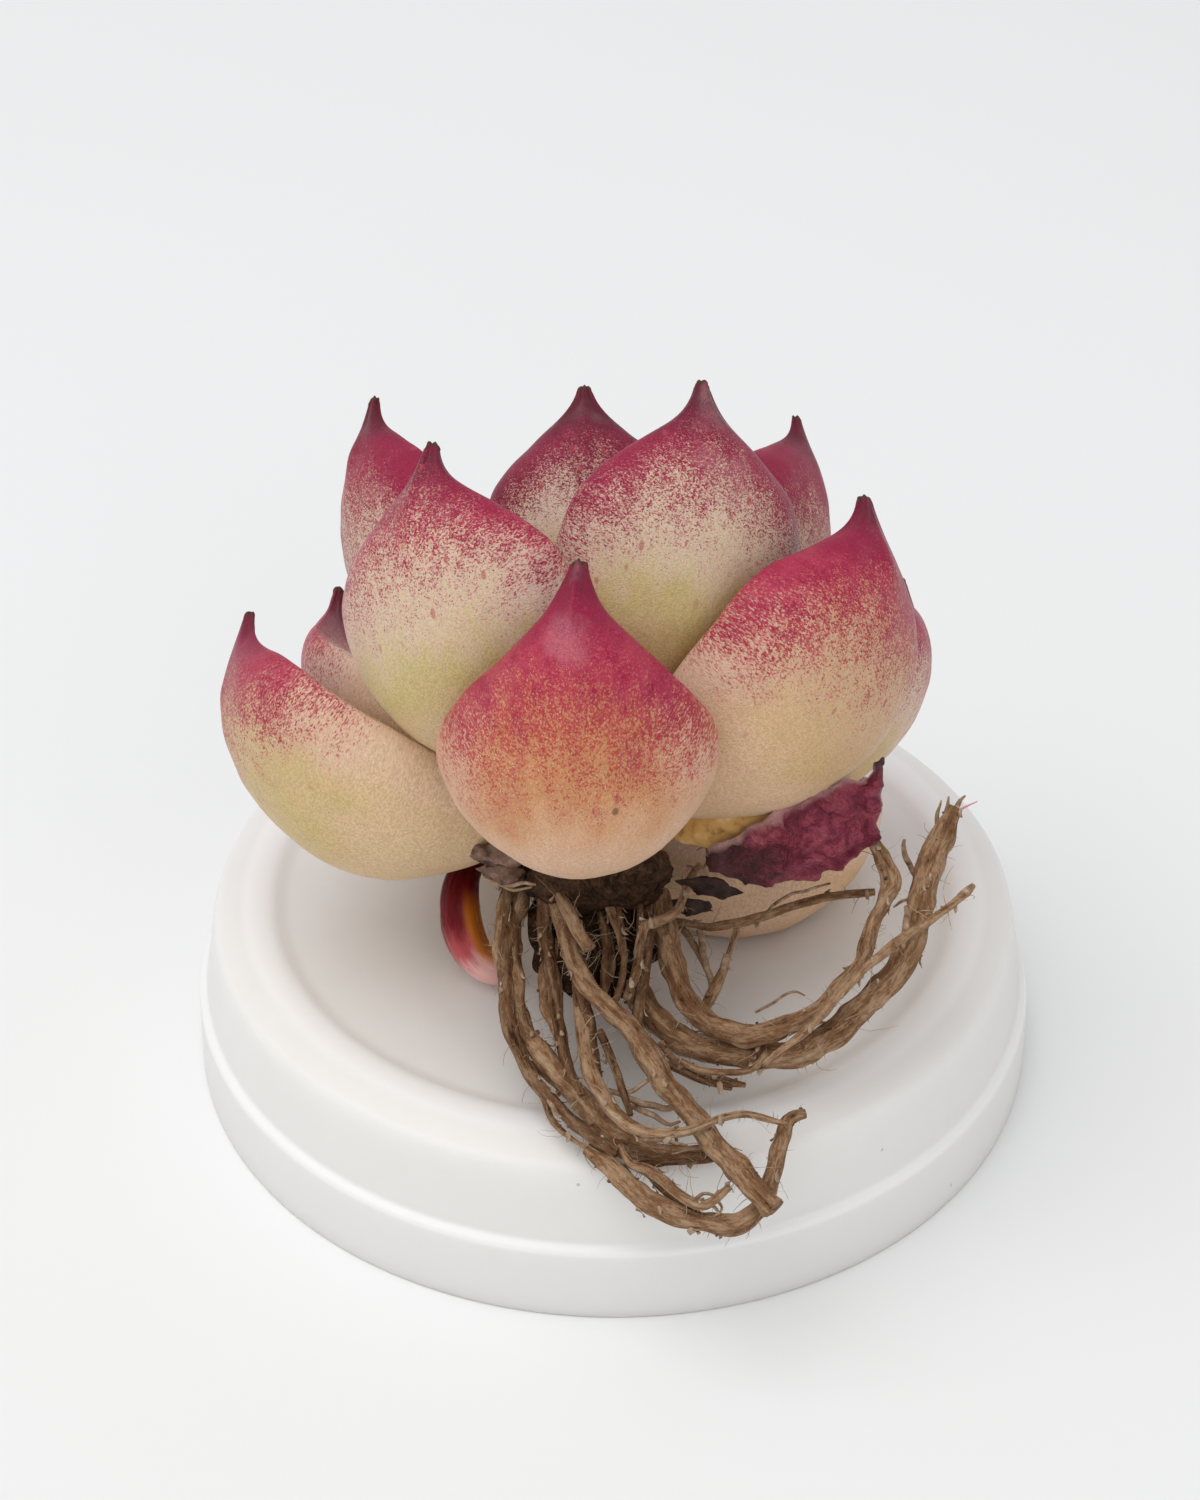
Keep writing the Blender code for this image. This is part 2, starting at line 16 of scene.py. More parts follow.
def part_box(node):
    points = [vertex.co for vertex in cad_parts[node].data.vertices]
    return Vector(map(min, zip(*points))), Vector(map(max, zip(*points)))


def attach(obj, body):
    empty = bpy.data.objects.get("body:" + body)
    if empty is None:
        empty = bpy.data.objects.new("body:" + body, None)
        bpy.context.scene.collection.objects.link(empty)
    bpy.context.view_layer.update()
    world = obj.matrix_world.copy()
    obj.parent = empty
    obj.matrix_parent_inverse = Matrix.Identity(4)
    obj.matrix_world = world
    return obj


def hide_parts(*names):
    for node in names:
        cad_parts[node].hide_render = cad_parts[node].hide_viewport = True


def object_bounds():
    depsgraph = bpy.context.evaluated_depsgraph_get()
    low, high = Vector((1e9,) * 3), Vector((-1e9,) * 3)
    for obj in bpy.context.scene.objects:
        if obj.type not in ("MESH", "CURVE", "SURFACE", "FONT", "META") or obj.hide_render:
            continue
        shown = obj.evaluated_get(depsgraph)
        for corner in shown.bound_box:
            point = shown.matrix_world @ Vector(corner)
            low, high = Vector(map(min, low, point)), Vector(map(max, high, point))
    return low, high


bl_info = {
    "name": "Bare-root succulent",
    "version": (1, 0, 0),
    "blender": (4, 5, 0),
    "location": "3D View > Sidebar > Succulent",
    "description": "Builds the leaves, roots, crown and lid of a bare-rooted rosette on its packed frame",
    "category": "Object",
}

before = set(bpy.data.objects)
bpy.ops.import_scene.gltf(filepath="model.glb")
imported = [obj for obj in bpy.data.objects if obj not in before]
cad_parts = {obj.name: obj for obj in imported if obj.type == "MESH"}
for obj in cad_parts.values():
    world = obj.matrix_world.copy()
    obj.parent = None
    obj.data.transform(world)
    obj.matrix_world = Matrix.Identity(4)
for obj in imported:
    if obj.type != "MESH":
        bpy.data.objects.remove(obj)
CAD_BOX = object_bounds()
noise.seed_set(1)  # noise_vector starts from the clock otherwise

MM = 0.001
BODY = "root"
GAP = 0.3

# The lid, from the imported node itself.
LID_LOW, LID_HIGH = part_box("frosted_lid")
LID_BACK = (LID_LOW.y + LID_HIGH.y) / 2 / MM
LID_HEIGHT = 14.2
LID_PANEL_RADIUS = 27.7
LID_BEAD_HEIGHT = 0.7

# The plant's place: the middle of its crown, and how far its axis leans back from upright.
CROWN = Vector((-1.0, LID_BACK - 13.4, 27.4))
LEAN_BACK = math.radians(55.0)
ROOTS_START = Vector((-1.0, LID_BACK - 12.7, 23.3))
ROOTS_DIP = math.radians(21.0)

# The spiral of leaves, from the oldest (0) to the youngest.
GOLDEN_ANGLE = 137.5
LEAF_COUNT = 21
BUD_FROM = 14

# Half width and half thickness along a leaf, as shares of the largest, at even steps from base to tip.
# A leaf with a drop of 1 has the narrower shoulders of DROP_SHARES, and one below 0 has fuller ones.
WIDTH_SHARES = (0.14, 0.40, 0.64, 0.83, 0.95, 1.00, 1.00, 0.98, 0.91, 0.74, 0.46, 0.17, 0.05)
DROP_SHARES = (0.14, 0.40, 0.66, 0.86, 0.97, 1.00, 0.95, 0.84, 0.69, 0.50, 0.29, 0.13, 0.05)
THICKNESS_SHARES = (0.18, 0.40, 0.64, 0.85, 0.97, 1.00, 0.94, 0.84, 0.71, 0.54, 0.34, 0.16, 0.07)

# Rings stand closer towards a leaf's tip, and a leaf's curve is longer than the line from base to tip.
RING_CROWDING = 1.35
CURVE_LENGTH = 1.15

# The keel behind a leaf's tip: how far it spreads to the sides, and its height where the leaf is thickest.
KEEL_SPREAD = 0.16
KEEL_GAIN = 2.2

# What single leaves do differently: "turn" in degrees, the rest in millimetres or shares.
LEAF_CHANGES = {
    0: {"drop": 1.0, "turn": -6.2, "lean": 1.5, "height": -1.4, "slope": -3.0, "back": 0.34},
    1: {"radius": -0.5, "height": -0.5, "base_height": 0.2, "slope": 1.0, "back": 0.30},
    2: {"radius": -0.1, "slope": -3.0},
    3: {"turn": -2.5, "radius": -1.6, "height": 1.6, "base_height": 0.3},
    4: {"radius": -4.0, "height": 1.5, "slope": 6.0, "back": 0.25},
    5: {"turn": -1.0, "lean": 2.2, "height": -0.8},
    6: {"drop": -0.5, "radius": 0.7, "height": -1.5},
    7: {"radius": 1.4, "height": -2.2},
    10: {"radius": 1.3, "height": 1.6},
    11: {"drop": -0.9, "turn": -0.5, "height": 0.3},
    13: {"turn": 6.0, "height": -2.2},
}

# How each leaf is coloured: where its red starts (share of its length), how peachy its flesh is, how pale
# the zone under the red is (pale wax, with a painted sheen on it and on the flanks), how dark its red is, and how far
# the red runs down its margins.
LOOK_NAMES = ("red_start", "peach", "pale_and_sheen_zone", "dark_red", "red_margin")
LEAF_LOOKS = {
    0: (0.585, 1.0, 0.0, 0.25, 0.10),
    1: (0.83, 0.75, 0.72, 0.05, 0.14),
    2: (0.71, 0.20, 0.15, 0.30, 0.18),
    3: (0.63, 0.50, 0.35, 0.35, 0.18),
    5: (0.72, 0.08, 0.75, 0.40, 0.15),
    6: (0.69, 0.30, 0.90, 0.50, 0.16),
    7: (0.70, 0.35, 0.80, 0.30, 0.16),
    8: (0.69, 0.02, 0.75, 0.95, 0.20),
    10: (0.64, 0.20, 0.90, 0.95, 0.26),
    11: (0.60, 0.25, 0.80, 0.90, 0.26),
    13: (0.595, 0.05, 1.00, 1.50, 0.26),
}
USUAL_LOOK = (0.70, 0.25, 0.70, 0.5, 0.26)

# Dried leaves: the angle round the axis, then (distance from the axis, height) of base and tip.
DRIED_LEAF = {
    "turn": 67.0, "base": (8.0, -0.9), "tip": (23.0, 5.8), "slopes": (-4.0, 75.0), "twist": 38.0,
    "width": 7.0, "back": 0.09, "face": 0.06, "cup": 0.05, "crumple": 0.55,
}
DRIED_SCRAPS = {
    "dried_scrap_upper": {
        "turn": 93.0, "base": (5.8, -1.4), "tip": (10.8, -2.0), "slopes": (-12.0, 0.0),
        "width": 4.0, "back": 0.10, "face": 0.10, "cup": 0.05, "crumple": 0.3,
    },
    "dried_scrap_lower": {
        "turn": 110.0, "base": (5.6, -2.4), "tip": (9.4, -2.7), "slopes": (-10.0, 5.0),
        "width": 3.4, "back": 0.10, "face": 0.10, "cup": 0.05, "crumple": 0.3,
    },
    "old_leaf_base": {
        "turn": -88.0, "base": (5.6, -1.0), "tip": (9.6, -0.5), "slopes": (-5.0, 10.0),
        "width": 4.4, "back": 0.22, "face": 0.18, "cup": 0.0, "crumple": 0.35,
    },
}

# The torn, yellowish base that shows between the right leaf and the dried one.
BASE_STRIP = {
    "turn": 63.0, "base": (5.5, 1.5), "tip": (19.5, 4.2), "slopes": (-4.0, 40.0), "twist": 50.0,
    "width": 4.6, "back": 0.12, "face": 0.08, "cup": 0.05, "crumple": 0.35,
}

# The brown tissue left of old leaves at the left of the crown.
DRY_TISSUE = {
    "turn": -78.0, "base": (4.0, 0.6), "tip": (11.6, 1.3), "slopes": (-5.0, 10.0), "twist": 25.0,
    "width": 5.4, "back": 0.20, "face": 0.16, "cup": 0.0, "crumple": 0.6,
}

# The dark mass between the roots, partly old fibres and soil and partly painted shade where the leaves' shadow falls:
# its middle and half sizes in the roots' frame.
FIBRE_AND_SHADE_MASS = ((-0.6, 3.0, 0.4), (5.0, 5.8, 1.4))

# The crown, turned round the plant's axis: (height above the crown's middle, radius).
CROWN_PROFILE = (
    (-3.6, 1.8), (-3.1, 3.2), (-2.1, 4.3), (-1.0, 4.6), (0.1, 4.0), (1.4, 3.4), (4.0, 3.0), (8.0, 2.5), (12.0, 1.6),
)
# The crown is stretched to its right, where its dark bark also stands for the shade under the leaves.
CROWN_WIDTH, CROWN_DEPTH = 1.18, 0.9  # how far it is stretched right and out

# Each root is a row of (right, out, up, radius) in millimetres from ROOTS_START, from the crown to its end.
ROOTS = {
    "root_left_main": (
        (-6.5, -2.6, 1.6, 1.1), (-6.7, -0.4, 1.0, 1.1), (-7.2, 4.0, 0.8, 1.05), (-6.7, 8.1, 0.5, 1.0),
        (-6.2, 11.2, 0.3, 0.95), (-4.5, 13.9, 0.2, 0.9), (-2.0, 16.9, 0.2, 0.85), (0.2, 19.7, 0.2, 0.8),
        (2.5, 21.1, 0.1, 0.75), (5.3, 21.9, 0.0, 0.7), (9.1, 21.5, 0.0, 0.5),
    ),
    "root_lower_loop": (
        (-1.1, 21.4, 0.0, 0.5), (0.7, 22.8, 0.0, 0.7), (2.5, 24.8, 0.0, 0.75), (4.4, 26.1, 0.0, 0.8),
        (6.6, 27.1, 0.0, 0.8), (9.6, 27.5, 0.0, 0.75), (11.5, 26.3, 0.1, 0.7), (12.5, 24.1, 0.3, 0.65),
        (13.2, 21.8, 0.4, 0.6), (13.9, 19.4, 0.6, 0.55), (15.3, 18.8, 0.6, 0.35),
    ),
    "root_front_long": (
        (-3.6, -0.6, 2.8, 0.8), (-3.5, 1.0, 2.8, 0.8), (-2.8, 4.3, 3.0, 0.75), (-2.1, 7.2, 3.1, 0.75),
        (-0.9, 9.4, 3.1, 0.75), (0.7, 11.4, 3.0, 0.8), (2.2, 12.8, 2.8, 0.85), (4.0, 15.9, 2.5, 0.85),
        (5.9, 18.7, 2.3, 0.85), (7.8, 21.1, 2.2, 0.85), (9.6, 23.6, 2.2, 0.85), (11.4, 25.8, 2.3, 0.9),
        (12.6, 27.2, 2.3, 0.95),
    ),
    "root_fine_pale": (
        (-1.8, 0.2, 1.0, 0.7), (-1.8, 1.9, 1.0, 0.7), (-1.7, 4.8, 1.0, 0.7), (-1.5, 8.6, 1.1, 0.7),
        (-1.3, 12.2, 1.3, 0.65), (-0.9, 15.4, 1.8, 0.6), (0.2, 18.4, 2.4, 0.55), (1.8, 20.7, 3.0, 0.5),
        (3.4, 21.8, 3.6, 0.42), (6.2, 21.8, 3.9, 0.34), (9.0, 20.6, 3.7, 0.28), (11.0, 20.2, 3.4, 0.24),
        (13.7, 20.9, 3.1, 0.2),
    ),
    "root_front_stub": ((-3.2, 2.2, 4.6, 0.5), (-2.8, 3.1, 4.7, 0.5), (-1.9, 5.1, 4.8, 0.5), (-0.9, 7.0, 4.8, 0.5)),
    "root_right_inner": (
        (4.5, 0.4, 1.5, 0.9), (4.7, 2.3, 1.5, 0.9), (5.5, 6.7, 1.5, 0.9), (6.3, 9.3, 1.7, 0.9),
        (7.3, 11.2, 2.1, 0.85), (8.5, 12.5, 2.6, 0.85), (11.1, 13.7, 3.5, 0.8), (13.9, 13.4, 4.5, 0.75),
        (16.1, 12.6, 5.2, 0.7), (17.9, 11.0, 6.0, 0.65), (19.3, 9.6, 6.7, 0.6), (20.3, 6.7, 7.6, 0.55),
        (21.3, 4.8, 8.2, 0.6), (21.8, 3.6, 8.5, 0.7), (21.2, 1.5, 8.8, 0.6), (20.4, -0.6, 9.0, 0.35),
    ),
    "root_right_outer": (
        (1.5, 0.2, -0.3, 1.0), (1.7, 1.5, -0.3, 1.0), (2.0, 5.4, -0.2, 1.0), (3.1, 9.0, 0.0, 1.0),
        (4.6, 11.2, 0.1, 1.0), (6.7, 12.7, 0.3, 1.0), (9.3, 13.7, 0.6, 1.0), (11.9, 14.4, 1.3, 1.0),
        (14.9, 14.5, 2.3, 1.0), (17.9, 13.2, 3.6, 1.0), (20.2, 11.4, 4.8, 1.0), (21.9, 10.0, 5.8, 1.0),
        (23.2, 7.9, 6.9, 1.0), (24.0, 4.9, 7.9, 1.0), (24.7, 2.2, 8.8, 0.95), (25.7, 0.0, 9.7, 0.9),
        (26.8, -2.0, 10.4, 0.6),
    ),
    "root_twig": (
        (12.1, 16.2, 3.8, 0.25), (15.2, 14.5, 6.0, 0.32), (18.7, 11.3, 7.9, 0.35), (22.1, 8.6, 8.8, 0.35),
        (24.4, 7.2, 9.3, 0.32), (27.3, 5.1, 10.0, 0.28),
    ),
    "root_thin_dark": (
        (5.5, 1.6, -0.6, 0.3), (7.4, 2.1, -0.3, 0.3), (9.0, 2.3, -0.2, 0.35), (12.3, 1.7, 0.2, 0.35),
        (15.9, 0.4, 0.3, 0.33), (18.5, 0.0, 0.6, 0.33), (21.3, 0.0, 1.2, 0.25),
    ),
    "root_small_lower": (
        (4.4, 13.0, 1.0, 0.3), (5.6, 14.4, 0.5, 0.3), (7.2, 15.1, 0.3, 0.35), (9.3, 15.9, 0.2, 0.35),
        (10.8, 16.4, 0.6, 0.2),
    ),
    "root_small_upper": (
        (6.0, 15.0, 1.7, 0.25), (7.5, 15.8, 1.9, 0.25), (10.9, 15.9, 2.0, 0.28), (12.4, 14.6, 2.6, 0.2),
    ),
    "root_behind_long": (
        (10.6, 2.2, -0.5, 0.25), (10.0, 4.2, -0.5, 0.25), (9.0, 7.0, -0.5, 0.4), (7.4, 10.6, 0.2, 0.35),
    ),
    "root_behind_short": ((6.2, 1.6, -1.3, 0.28), (7.5, 3.7, -1.5, 0.28), (8.6, 6.4, -1.4, 0.24)),
    "root_left_thin": (
        (-5.6, 13.2, 0.1, 0.2), (-5.2, 15.4, -0.1, 0.2), (-4.4, 17.0, -0.1, 0.25), (-3.7, 19.0, 0.0, 0.25),
        (-2.2, 20.6, 0.1, 0.2), (-1.0, 21.4, 0.1, 0.18),
    ),
    "root_tangle": (
        (1.4, 21.6, 1.0, 0.3), (2.2, 23.3, 1.5, 0.3), (3.5, 23.8, 1.5, 0.4), (4.9, 25.1, 1.5, 0.4),
        (6.4, 26.3, 1.6, 0.4), (7.7, 26.6, 1.6, 0.35), (9.4, 25.2, 1.6, 0.25),
    ),
    "root_centre_fine": ((0.3, 0.6, 3.6, 0.4), (0.7, 2.5, 3.4, 0.4), (1.5, 5.3, 3.4, 0.35), (1.8, 7.4, 3.2, 0.2)),
    "root_centre_inner": ((0.3, 3.4, 1.6, 0.4), (0.5, 4.5, 1.6, 0.4), (0.7, 6.7, 1.6, 0.4), (0.2, 9.2, 1.7, 0.25)),
    "root_centre_bent": (
        (7.6, -1.4, 3.0, 0.25), (6.8, 0.1, 3.2, 0.3), (5.8, 3.0, 3.4, 0.36), (4.0, 3.95, 3.4, 0.42),
        (3.2, 4.6, 3.4, 0.42), (2.7, 7.6, 2.6, 0.35), (1.9, 10.0, 2.3, 0.3),
    ),
    "root_left_inner": (
        (-4.4, -1.0, 0.6, 0.8), (-4.3, 0.4, 0.4, 0.8), (-3.9, 4.6, 0.5, 0.8), (-4.1, 8.9, 0.5, 0.75),
        (-3.5, 11.0, 0.5, 0.6), (-2.9, 13.0, 0.4, 0.3),
    ),
}

# Fine rootlets and torn fibres, as rows like the roots'.
ROOTLETS = (
    (
        (21.6, 2.6, 8.7, 0.30), (20.3, 0.2, 9.1, 0.30), (18.5, -1.4, 9.2, 0.26), (17.9, -2.4, 9.4, 0.22),
        (17.5, -3.2, 9.5, 0.20),
    ),
    (
        (20.6, 0.4, 9.0, 0.24), (18.5, -0.9, 9.1, 0.26), (17.4, -0.4, 9.1, 0.22), (16.4, -0.3, 8.9, 0.20),
        (16.0, -0.9, 8.9, 0.12),
    ),
    ((20.4, -0.6, 8.9, 0.32), (19.9, -1.8, 8.7, 0.28), (19.0, -1.9, 8.9, 0.18)),
    ((23.9, 2.6, 7.8, 0.22), (23.2, 0.9, 7.8, 0.24), (23.0, 0.1, 8.0, 0.20), (23.1, -0.6, 8.1, 0.12)),
    ((23.8, 4.2, 7.4, 0.14), (22.6, 4.4, 7.4, 0.12), (21.9, 5.1, 7.6, 0.07)),
    ((25.6, 0.4, 8.9, 0.10), (26.0, 0.4, 8.7, 0.07), (26.3, -0.2, 8.7, 0.05)),
    ((25.2, 0.6, 9.6, 0.22), (25.5, -1.6, 10.0, 0.16), (25.8, -2.8, 10.2, 0.06)),
    ((25.7, 0.2, 9.9, 0.26), (26.1, -1.8, 10.3, 0.18), (26.4, -3.0, 10.5, 0.07)),
    ((26.2, -0.2, 10.0, 0.30), (26.9, -2.2, 10.4, 0.22), (27.6, -3.0, 10.5, 0.08)),
    ((25.9, 0.8, 9.6, 0.22), (26.6, -1.2, 10.1, 0.16), (27.1, -2.4, 10.5, 0.08)),
    (
        (6.6, -1.0, 3.5, 0.10), (7.8, -0.4, 4.2, 0.12), (8.2, -1.2, 4.5, 0.12), (8.1, -2.2, 4.5, 0.10),
        (7.4, -2.0, 4.3, 0.06),
    ),
    ((-9.0, 0.4, 4.2, 0.10), (-7.4, 1.3, 4.5, 0.16), (-5.9, 1.2, 4.7, 0.16), (-4.4, 1.6, 4.7, 0.08)),
    ((-8.2, 1.0, 4.2, 0.08), (-6.7, 1.7, 4.4, 0.12), (-5.3, 1.5, 4.6, 0.08)),
    ((12.4, 2.0, 0.4, 0.12), (14.0, 0.6, 1.2, 0.14), (16.4, 0.0, 1.8, 0.12), (17.8, -0.2, 2.2, 0.08)),
    ((26.7, 5.5, 9.9, 0.30), (27.4, 5.0, 10.1, 0.34), (27.8, 4.6, 10.2, 0.2)),
    ((22.6, 8.2, 8.9, 0.28), (22.8, 6.6, 9.2, 0.26), (22.7, 5.9, 9.3, 0.14)),
    (
        (-0.2, 16.6, 0.6, 0.18), (1.6, 17.2, 0.5, 0.24), (3.3, 17.9, 0.4, 0.26), (5.0, 18.2, 0.4, 0.24),
        (6.6, 18.0, 0.6, 0.16),
    ),
    ((1.6, 17.2, 0.5, 0.16), (2.9, 16.6, 0.8, 0.18), (4.0, 15.9, 1.2, 0.12)),
    ((2.3, 18.0, 0.4, 0.20), (3.8, 18.8, 0.3, 0.22), (5.0, 19.5, 0.3, 0.16), (5.9, 19.4, 0.4, 0.10)),
    ((2.9, 20.9, 0.5, 0.20), (4.5, 20.9, 0.5, 0.22), (6.4, 21.4, 0.6, 0.12)),
    ((5.2, 22.3, 1.0, 0.06), (7.3, 21.9, 1.4, 0.07), (8.9, 22.1, 1.6, 0.06), (10.4, 22.3, 1.8, 0.03)),
    ((7.7, 2.2, -0.8, 0.28), (8.0, 4.9, -0.9, 0.28), (8.5, 7.1, -0.8, 0.26), (8.5, 8.9, -0.6, 0.22)),
    ((9.8, 4.8, -0.3, 0.34), (9.3, 6.5, -0.4, 0.30), (8.5, 8.8, -0.5, 0.24)),
    ((11.7, 10.0, 0.2, 0.10), (13.3, 9.2, 0.4, 0.12), (14.6, 8.5, 0.6, 0.10), (15.6, 8.9, 0.7, 0.06)),
    ((-4.2, 17.3, 0.9, 0.16), (-3.7, 18.3, 1.0, 0.20), (-3.1, 19.4, 1.1, 0.14)),
    (
        (6.5, 26.2, 0.5, 0.18), (7.4, 25.4, 0.8, 0.14), (8.4, 25.8, 1.0, 0.12), (8.8, 26.7, 0.9, 0.10),
        (8.1, 27.1, 0.6, 0.08),
    ),
    ((6.1, 26.1, 0.6, 0.16), (7.1, 26.2, 0.9, 0.16), (8.1, 26.4, 1.0, 0.14), (8.7, 27.0, 0.8, 0.10)),
    ((8.4, 25.9, 0.8, 0.07), (9.0, 25.1, 1.2, 0.06), (9.6, 24.6, 1.4, 0.04)),
)

# Smaller roots that fill the bundle, drawn like the main ones.
BUNDLE_ROOTS = (
    (
        (-0.1, 12.3, 1.6, 0.30), (0.4, 13.5, 1.5, 0.34), (1.0, 15.3, 1.3, 0.32), (1.7, 17.5, 1.2, 0.28),
        (2.2, 19.2, 1.2, 0.20),
    ),
    (
        (-0.8, 19.9, 0.6, 0.40), (0.8, 21.5, 0.5, 0.42), (2.9, 22.6, 0.6, 0.38), (5.2, 22.8, 0.9, 0.34),
        (7.7, 22.8, 1.3, 0.30), (9.3, 22.6, 1.6, 0.26),
    ),
    (
        (2.0, 22.4, 0.3, 0.40), (3.6, 23.4, 0.2, 0.42), (4.9, 24.8, 0.2, 0.40), (6.1, 26.0, 0.4, 0.36),
        (7.2, 26.7, 0.6, 0.20),
    ),
    (
        (-7.0, -1.0, 2.0, 0.60), (-7.2, 3.6, 1.6, 0.60), (-7.3, 7.9, 1.5, 0.60), (-6.8, 12.1, 1.2, 0.55),
        (-5.5, 15.3, 0.9, 0.50), (-3.4, 18.1, 0.8, 0.50), (-0.8, 20.6, 0.7, 0.45), (1.2, 22.1, 0.6, 0.40),
    ),
    (
        (1.2, -1.4, 3.4, 0.24), (1.3, 2.1, 3.6, 0.24), (1.6, 5.6, 3.6, 0.26), (1.7, 7.7, 3.5, 0.26),
        (1.2, 10.2, 3.2, 0.26), (0.7, 10.9, 3.0, 0.20),
    ),
    (
        (3.0, -1.4, 3.2, 0.26), (3.0, 2.0, 3.4, 0.26), (3.0, 5.9, 3.4, 0.28), (2.7, 8.0, 3.3, 0.28),
        (2.2, 9.8, 3.0, 0.22),
    ),
    (
        (-0.4, -1.4, 2.4, 0.30), (-0.1, 1.8, 2.4, 0.30), (0.4, 5.8, 2.4, 0.30), (0.2, 8.8, 2.3, 0.28),
        (0.3, 11.2, 2.0, 0.22),
    ),
    (
        (-3.0, -1.4, 2.2, 0.50), (-2.7, 1.3, 2.2, 0.50), (-2.1, 5.6, 2.0, 0.55), (-1.4, 9.7, 1.6, 0.60),
        (-0.8, 13.8, 1.3, 0.55), (-0.4, 16.1, 1.2, 0.40),
    ),
    (
        (3.9, -1.4, 2.0, 0.50), (3.8, 1.6, 2.0, 0.50), (3.4, 5.6, 2.0, 0.50), (2.9, 9.7, 1.6, 0.50),
        (2.5, 12.9, 1.2, 0.45),
    ),
    (
        (-4.6, -1.4, 1.6, 0.60), (-4.4, 1.4, 1.6, 0.60), (-4.1, 5.2, 1.3, 0.60), (-3.5, 9.4, 1.0, 0.55),
        (-2.7, 14.3, 0.7, 0.45), (-1.6, 17.5, 0.6, 0.35),
    ),
    ((3.7, 14.0, 0.9, 0.26), (5.6, 15.1, 0.8, 0.28), (7.7, 16.0, 0.7, 0.30), (9.8, 16.7, 0.8, 0.26)),
)

# The one pink strand at the right root's tip.
PINK_FIBRE = ((26.2, -1.6, 9.9, 0.07), (27.1, -2.0, 10.1, 0.09), (27.8, -2.3, 10.3, 0.07), (28.5, -2.6, 10.4, 0.04))

# Hairs: the share of long ones, and how far past the CAD's front they may reach, in metres.
LONG_HAIRS = 0.16
HAIR_REACH = 0.8 * MM

# The shrivelled red leaf that hooks down to the lid at the left: (x, y from the lid, z, radius).
HOOK = (
    (-10.4, -6.6, 23.6, 0.7), (-12.0, -8.4, 21.9, 1.3), (-12.2, -10.4, 19.6, 1.55), (-11.2, -12.1, 17.4, 1.5),
    (-9.6, -12.7, 16.3, 1.35), (-8.4, -12.2, 16.5, 0.9),
)
HOOK_INSIDE = (0.93, -0.22, 0.30)  # the way that the inside of its bend faces

# Colours of the small dry pieces, from their darkest spots to their palest: (tone, colour).
SPECK_TONES = {
    "black": ((0.30, (0.012, 0.007, 0.006)), (0.55, (0.05, 0.026, 0.020)), (0.75, (0.13, 0.06, 0.045))),
    "brown": ((0.30, (0.05, 0.026, 0.018)), (0.50, (0.17, 0.092, 0.064)), (0.72, (0.36, 0.24, 0.19))),
    "straw": ((0.30, (0.30, 0.12, 0.03)), (0.50, (0.60, 0.34, 0.10)), (0.72, (0.72, 0.50, 0.26))),
    "tan": ((0.28, (0.10, 0.055, 0.032)), (0.48, (0.30, 0.19, 0.115)), (0.70, (0.52, 0.38, 0.26))),
    "hair_tones": ((0.30, (0.17, 0.10, 0.06)), (0.50, (0.40, 0.28, 0.18)), (0.70, (0.62, 0.50, 0.38))),
    "soil": ((0.30, (0.03, 0.018, 0.012)), (0.50, (0.14, 0.08, 0.05)), (0.70, (0.36, 0.25, 0.17))),
    "pinks": ((0.30, (0.62, 0.20, 0.24)), (0.70, (0.80, 0.42, 0.44))),
}

# The lid's section as (radius, height, how far its corner is rounded).
LID_OUTSIDE = (
    (0.0, 14.2, 0.0), (27.3, 14.2, 0.7), (28.4, 14.9, 0.6), (30.1, 14.9, 0.9), (31.9, 14.2, 0.8), (33.0, 13.7, 0.6),
    (33.35, 12.2, 0.4), (34.1, 7.0, 0.25), (34.75, 6.75, 0.25), (34.85, 6.1, 0.25), (35.0, 0.0, 0.35),
)
LID_INSIDE = ((33.2, 0.0, 0.3), (31.2, 11.2, 0.6), (30.0, 12.4, 0.6), (0.0, 12.4, 0.0))


# The camera: its angle above the horizon, its lens and sensor width in millimetres, and what it looks at, as
# millimetres right of the lid's middle and up. Then the lamps: place and size in metres.
CAMERA_HEIGHT = math.radians(36.3)
LENS, SENSOR = 93.21, 36.0
CAMERA_AIM = (-1.1, 28.5)
LAMP_AIM = Vector((0.0, 0.0, 0.02))
OVERHEAD_LAMP = ((-0.35, -0.15, 0.9), 0.9)
FRONT_LAMP = ((0.35, -0.9, 0.55), 0.7)


# ---------------------------------------------------------------- sizes and colours


def colour(name, value, description):
    """A colour property."""
    return FloatVectorProperty(
        name=name, description=description, subtype="COLOR", size=4, min=0, max=1, default=(*value, 1)
    )


class LeafSettings(bpy.types.PropertyGroup):
    """The living leaves."""

    columns: IntProperty(name="Columns", description="Faces round a leaf before smoothing", default=32, min=8)
    rings: IntProperty(name="Rings", description="Faces along a leaf before smoothing", default=40, min=8)
    keel: FloatProperty(name="Keel", description="Ridge behind a leaf's tip, as a share of its width", default=0.035)
    waviness: FloatProperty(name="Waviness", description="Uneven swelling of the skin, in millimetres", default=0.22)
    flesh_green: colour("Green flesh", (0.55, 0.45, 0.145), "Flesh near the base of the greener leaves")
    flesh_cream: colour("Cream flesh", (0.68, 0.56, 0.29), "Flesh halfway along the greener leaves")
    flesh_peach: colour("Peach flesh", (0.66, 0.33, 0.14), "Flesh of the peachy leaves")
    flesh_pink: colour("Pink flesh", (0.80, 0.55, 0.40), "Flesh along the sides and at the base")
    pale: colour("Bloom and sheen", (0.83, 0.64, 0.55), "The whitish bloom under the red and on the sides")
    rose: colour("Rose", (0.46, 0.036, 0.078), "Where the red starts")
    raspberry: colour("Raspberry", (0.31, 0.006, 0.048), "The full red")
    crimson: colour("Crimson", (0.115, 0.003, 0.018), "The darkest red, near the tip")


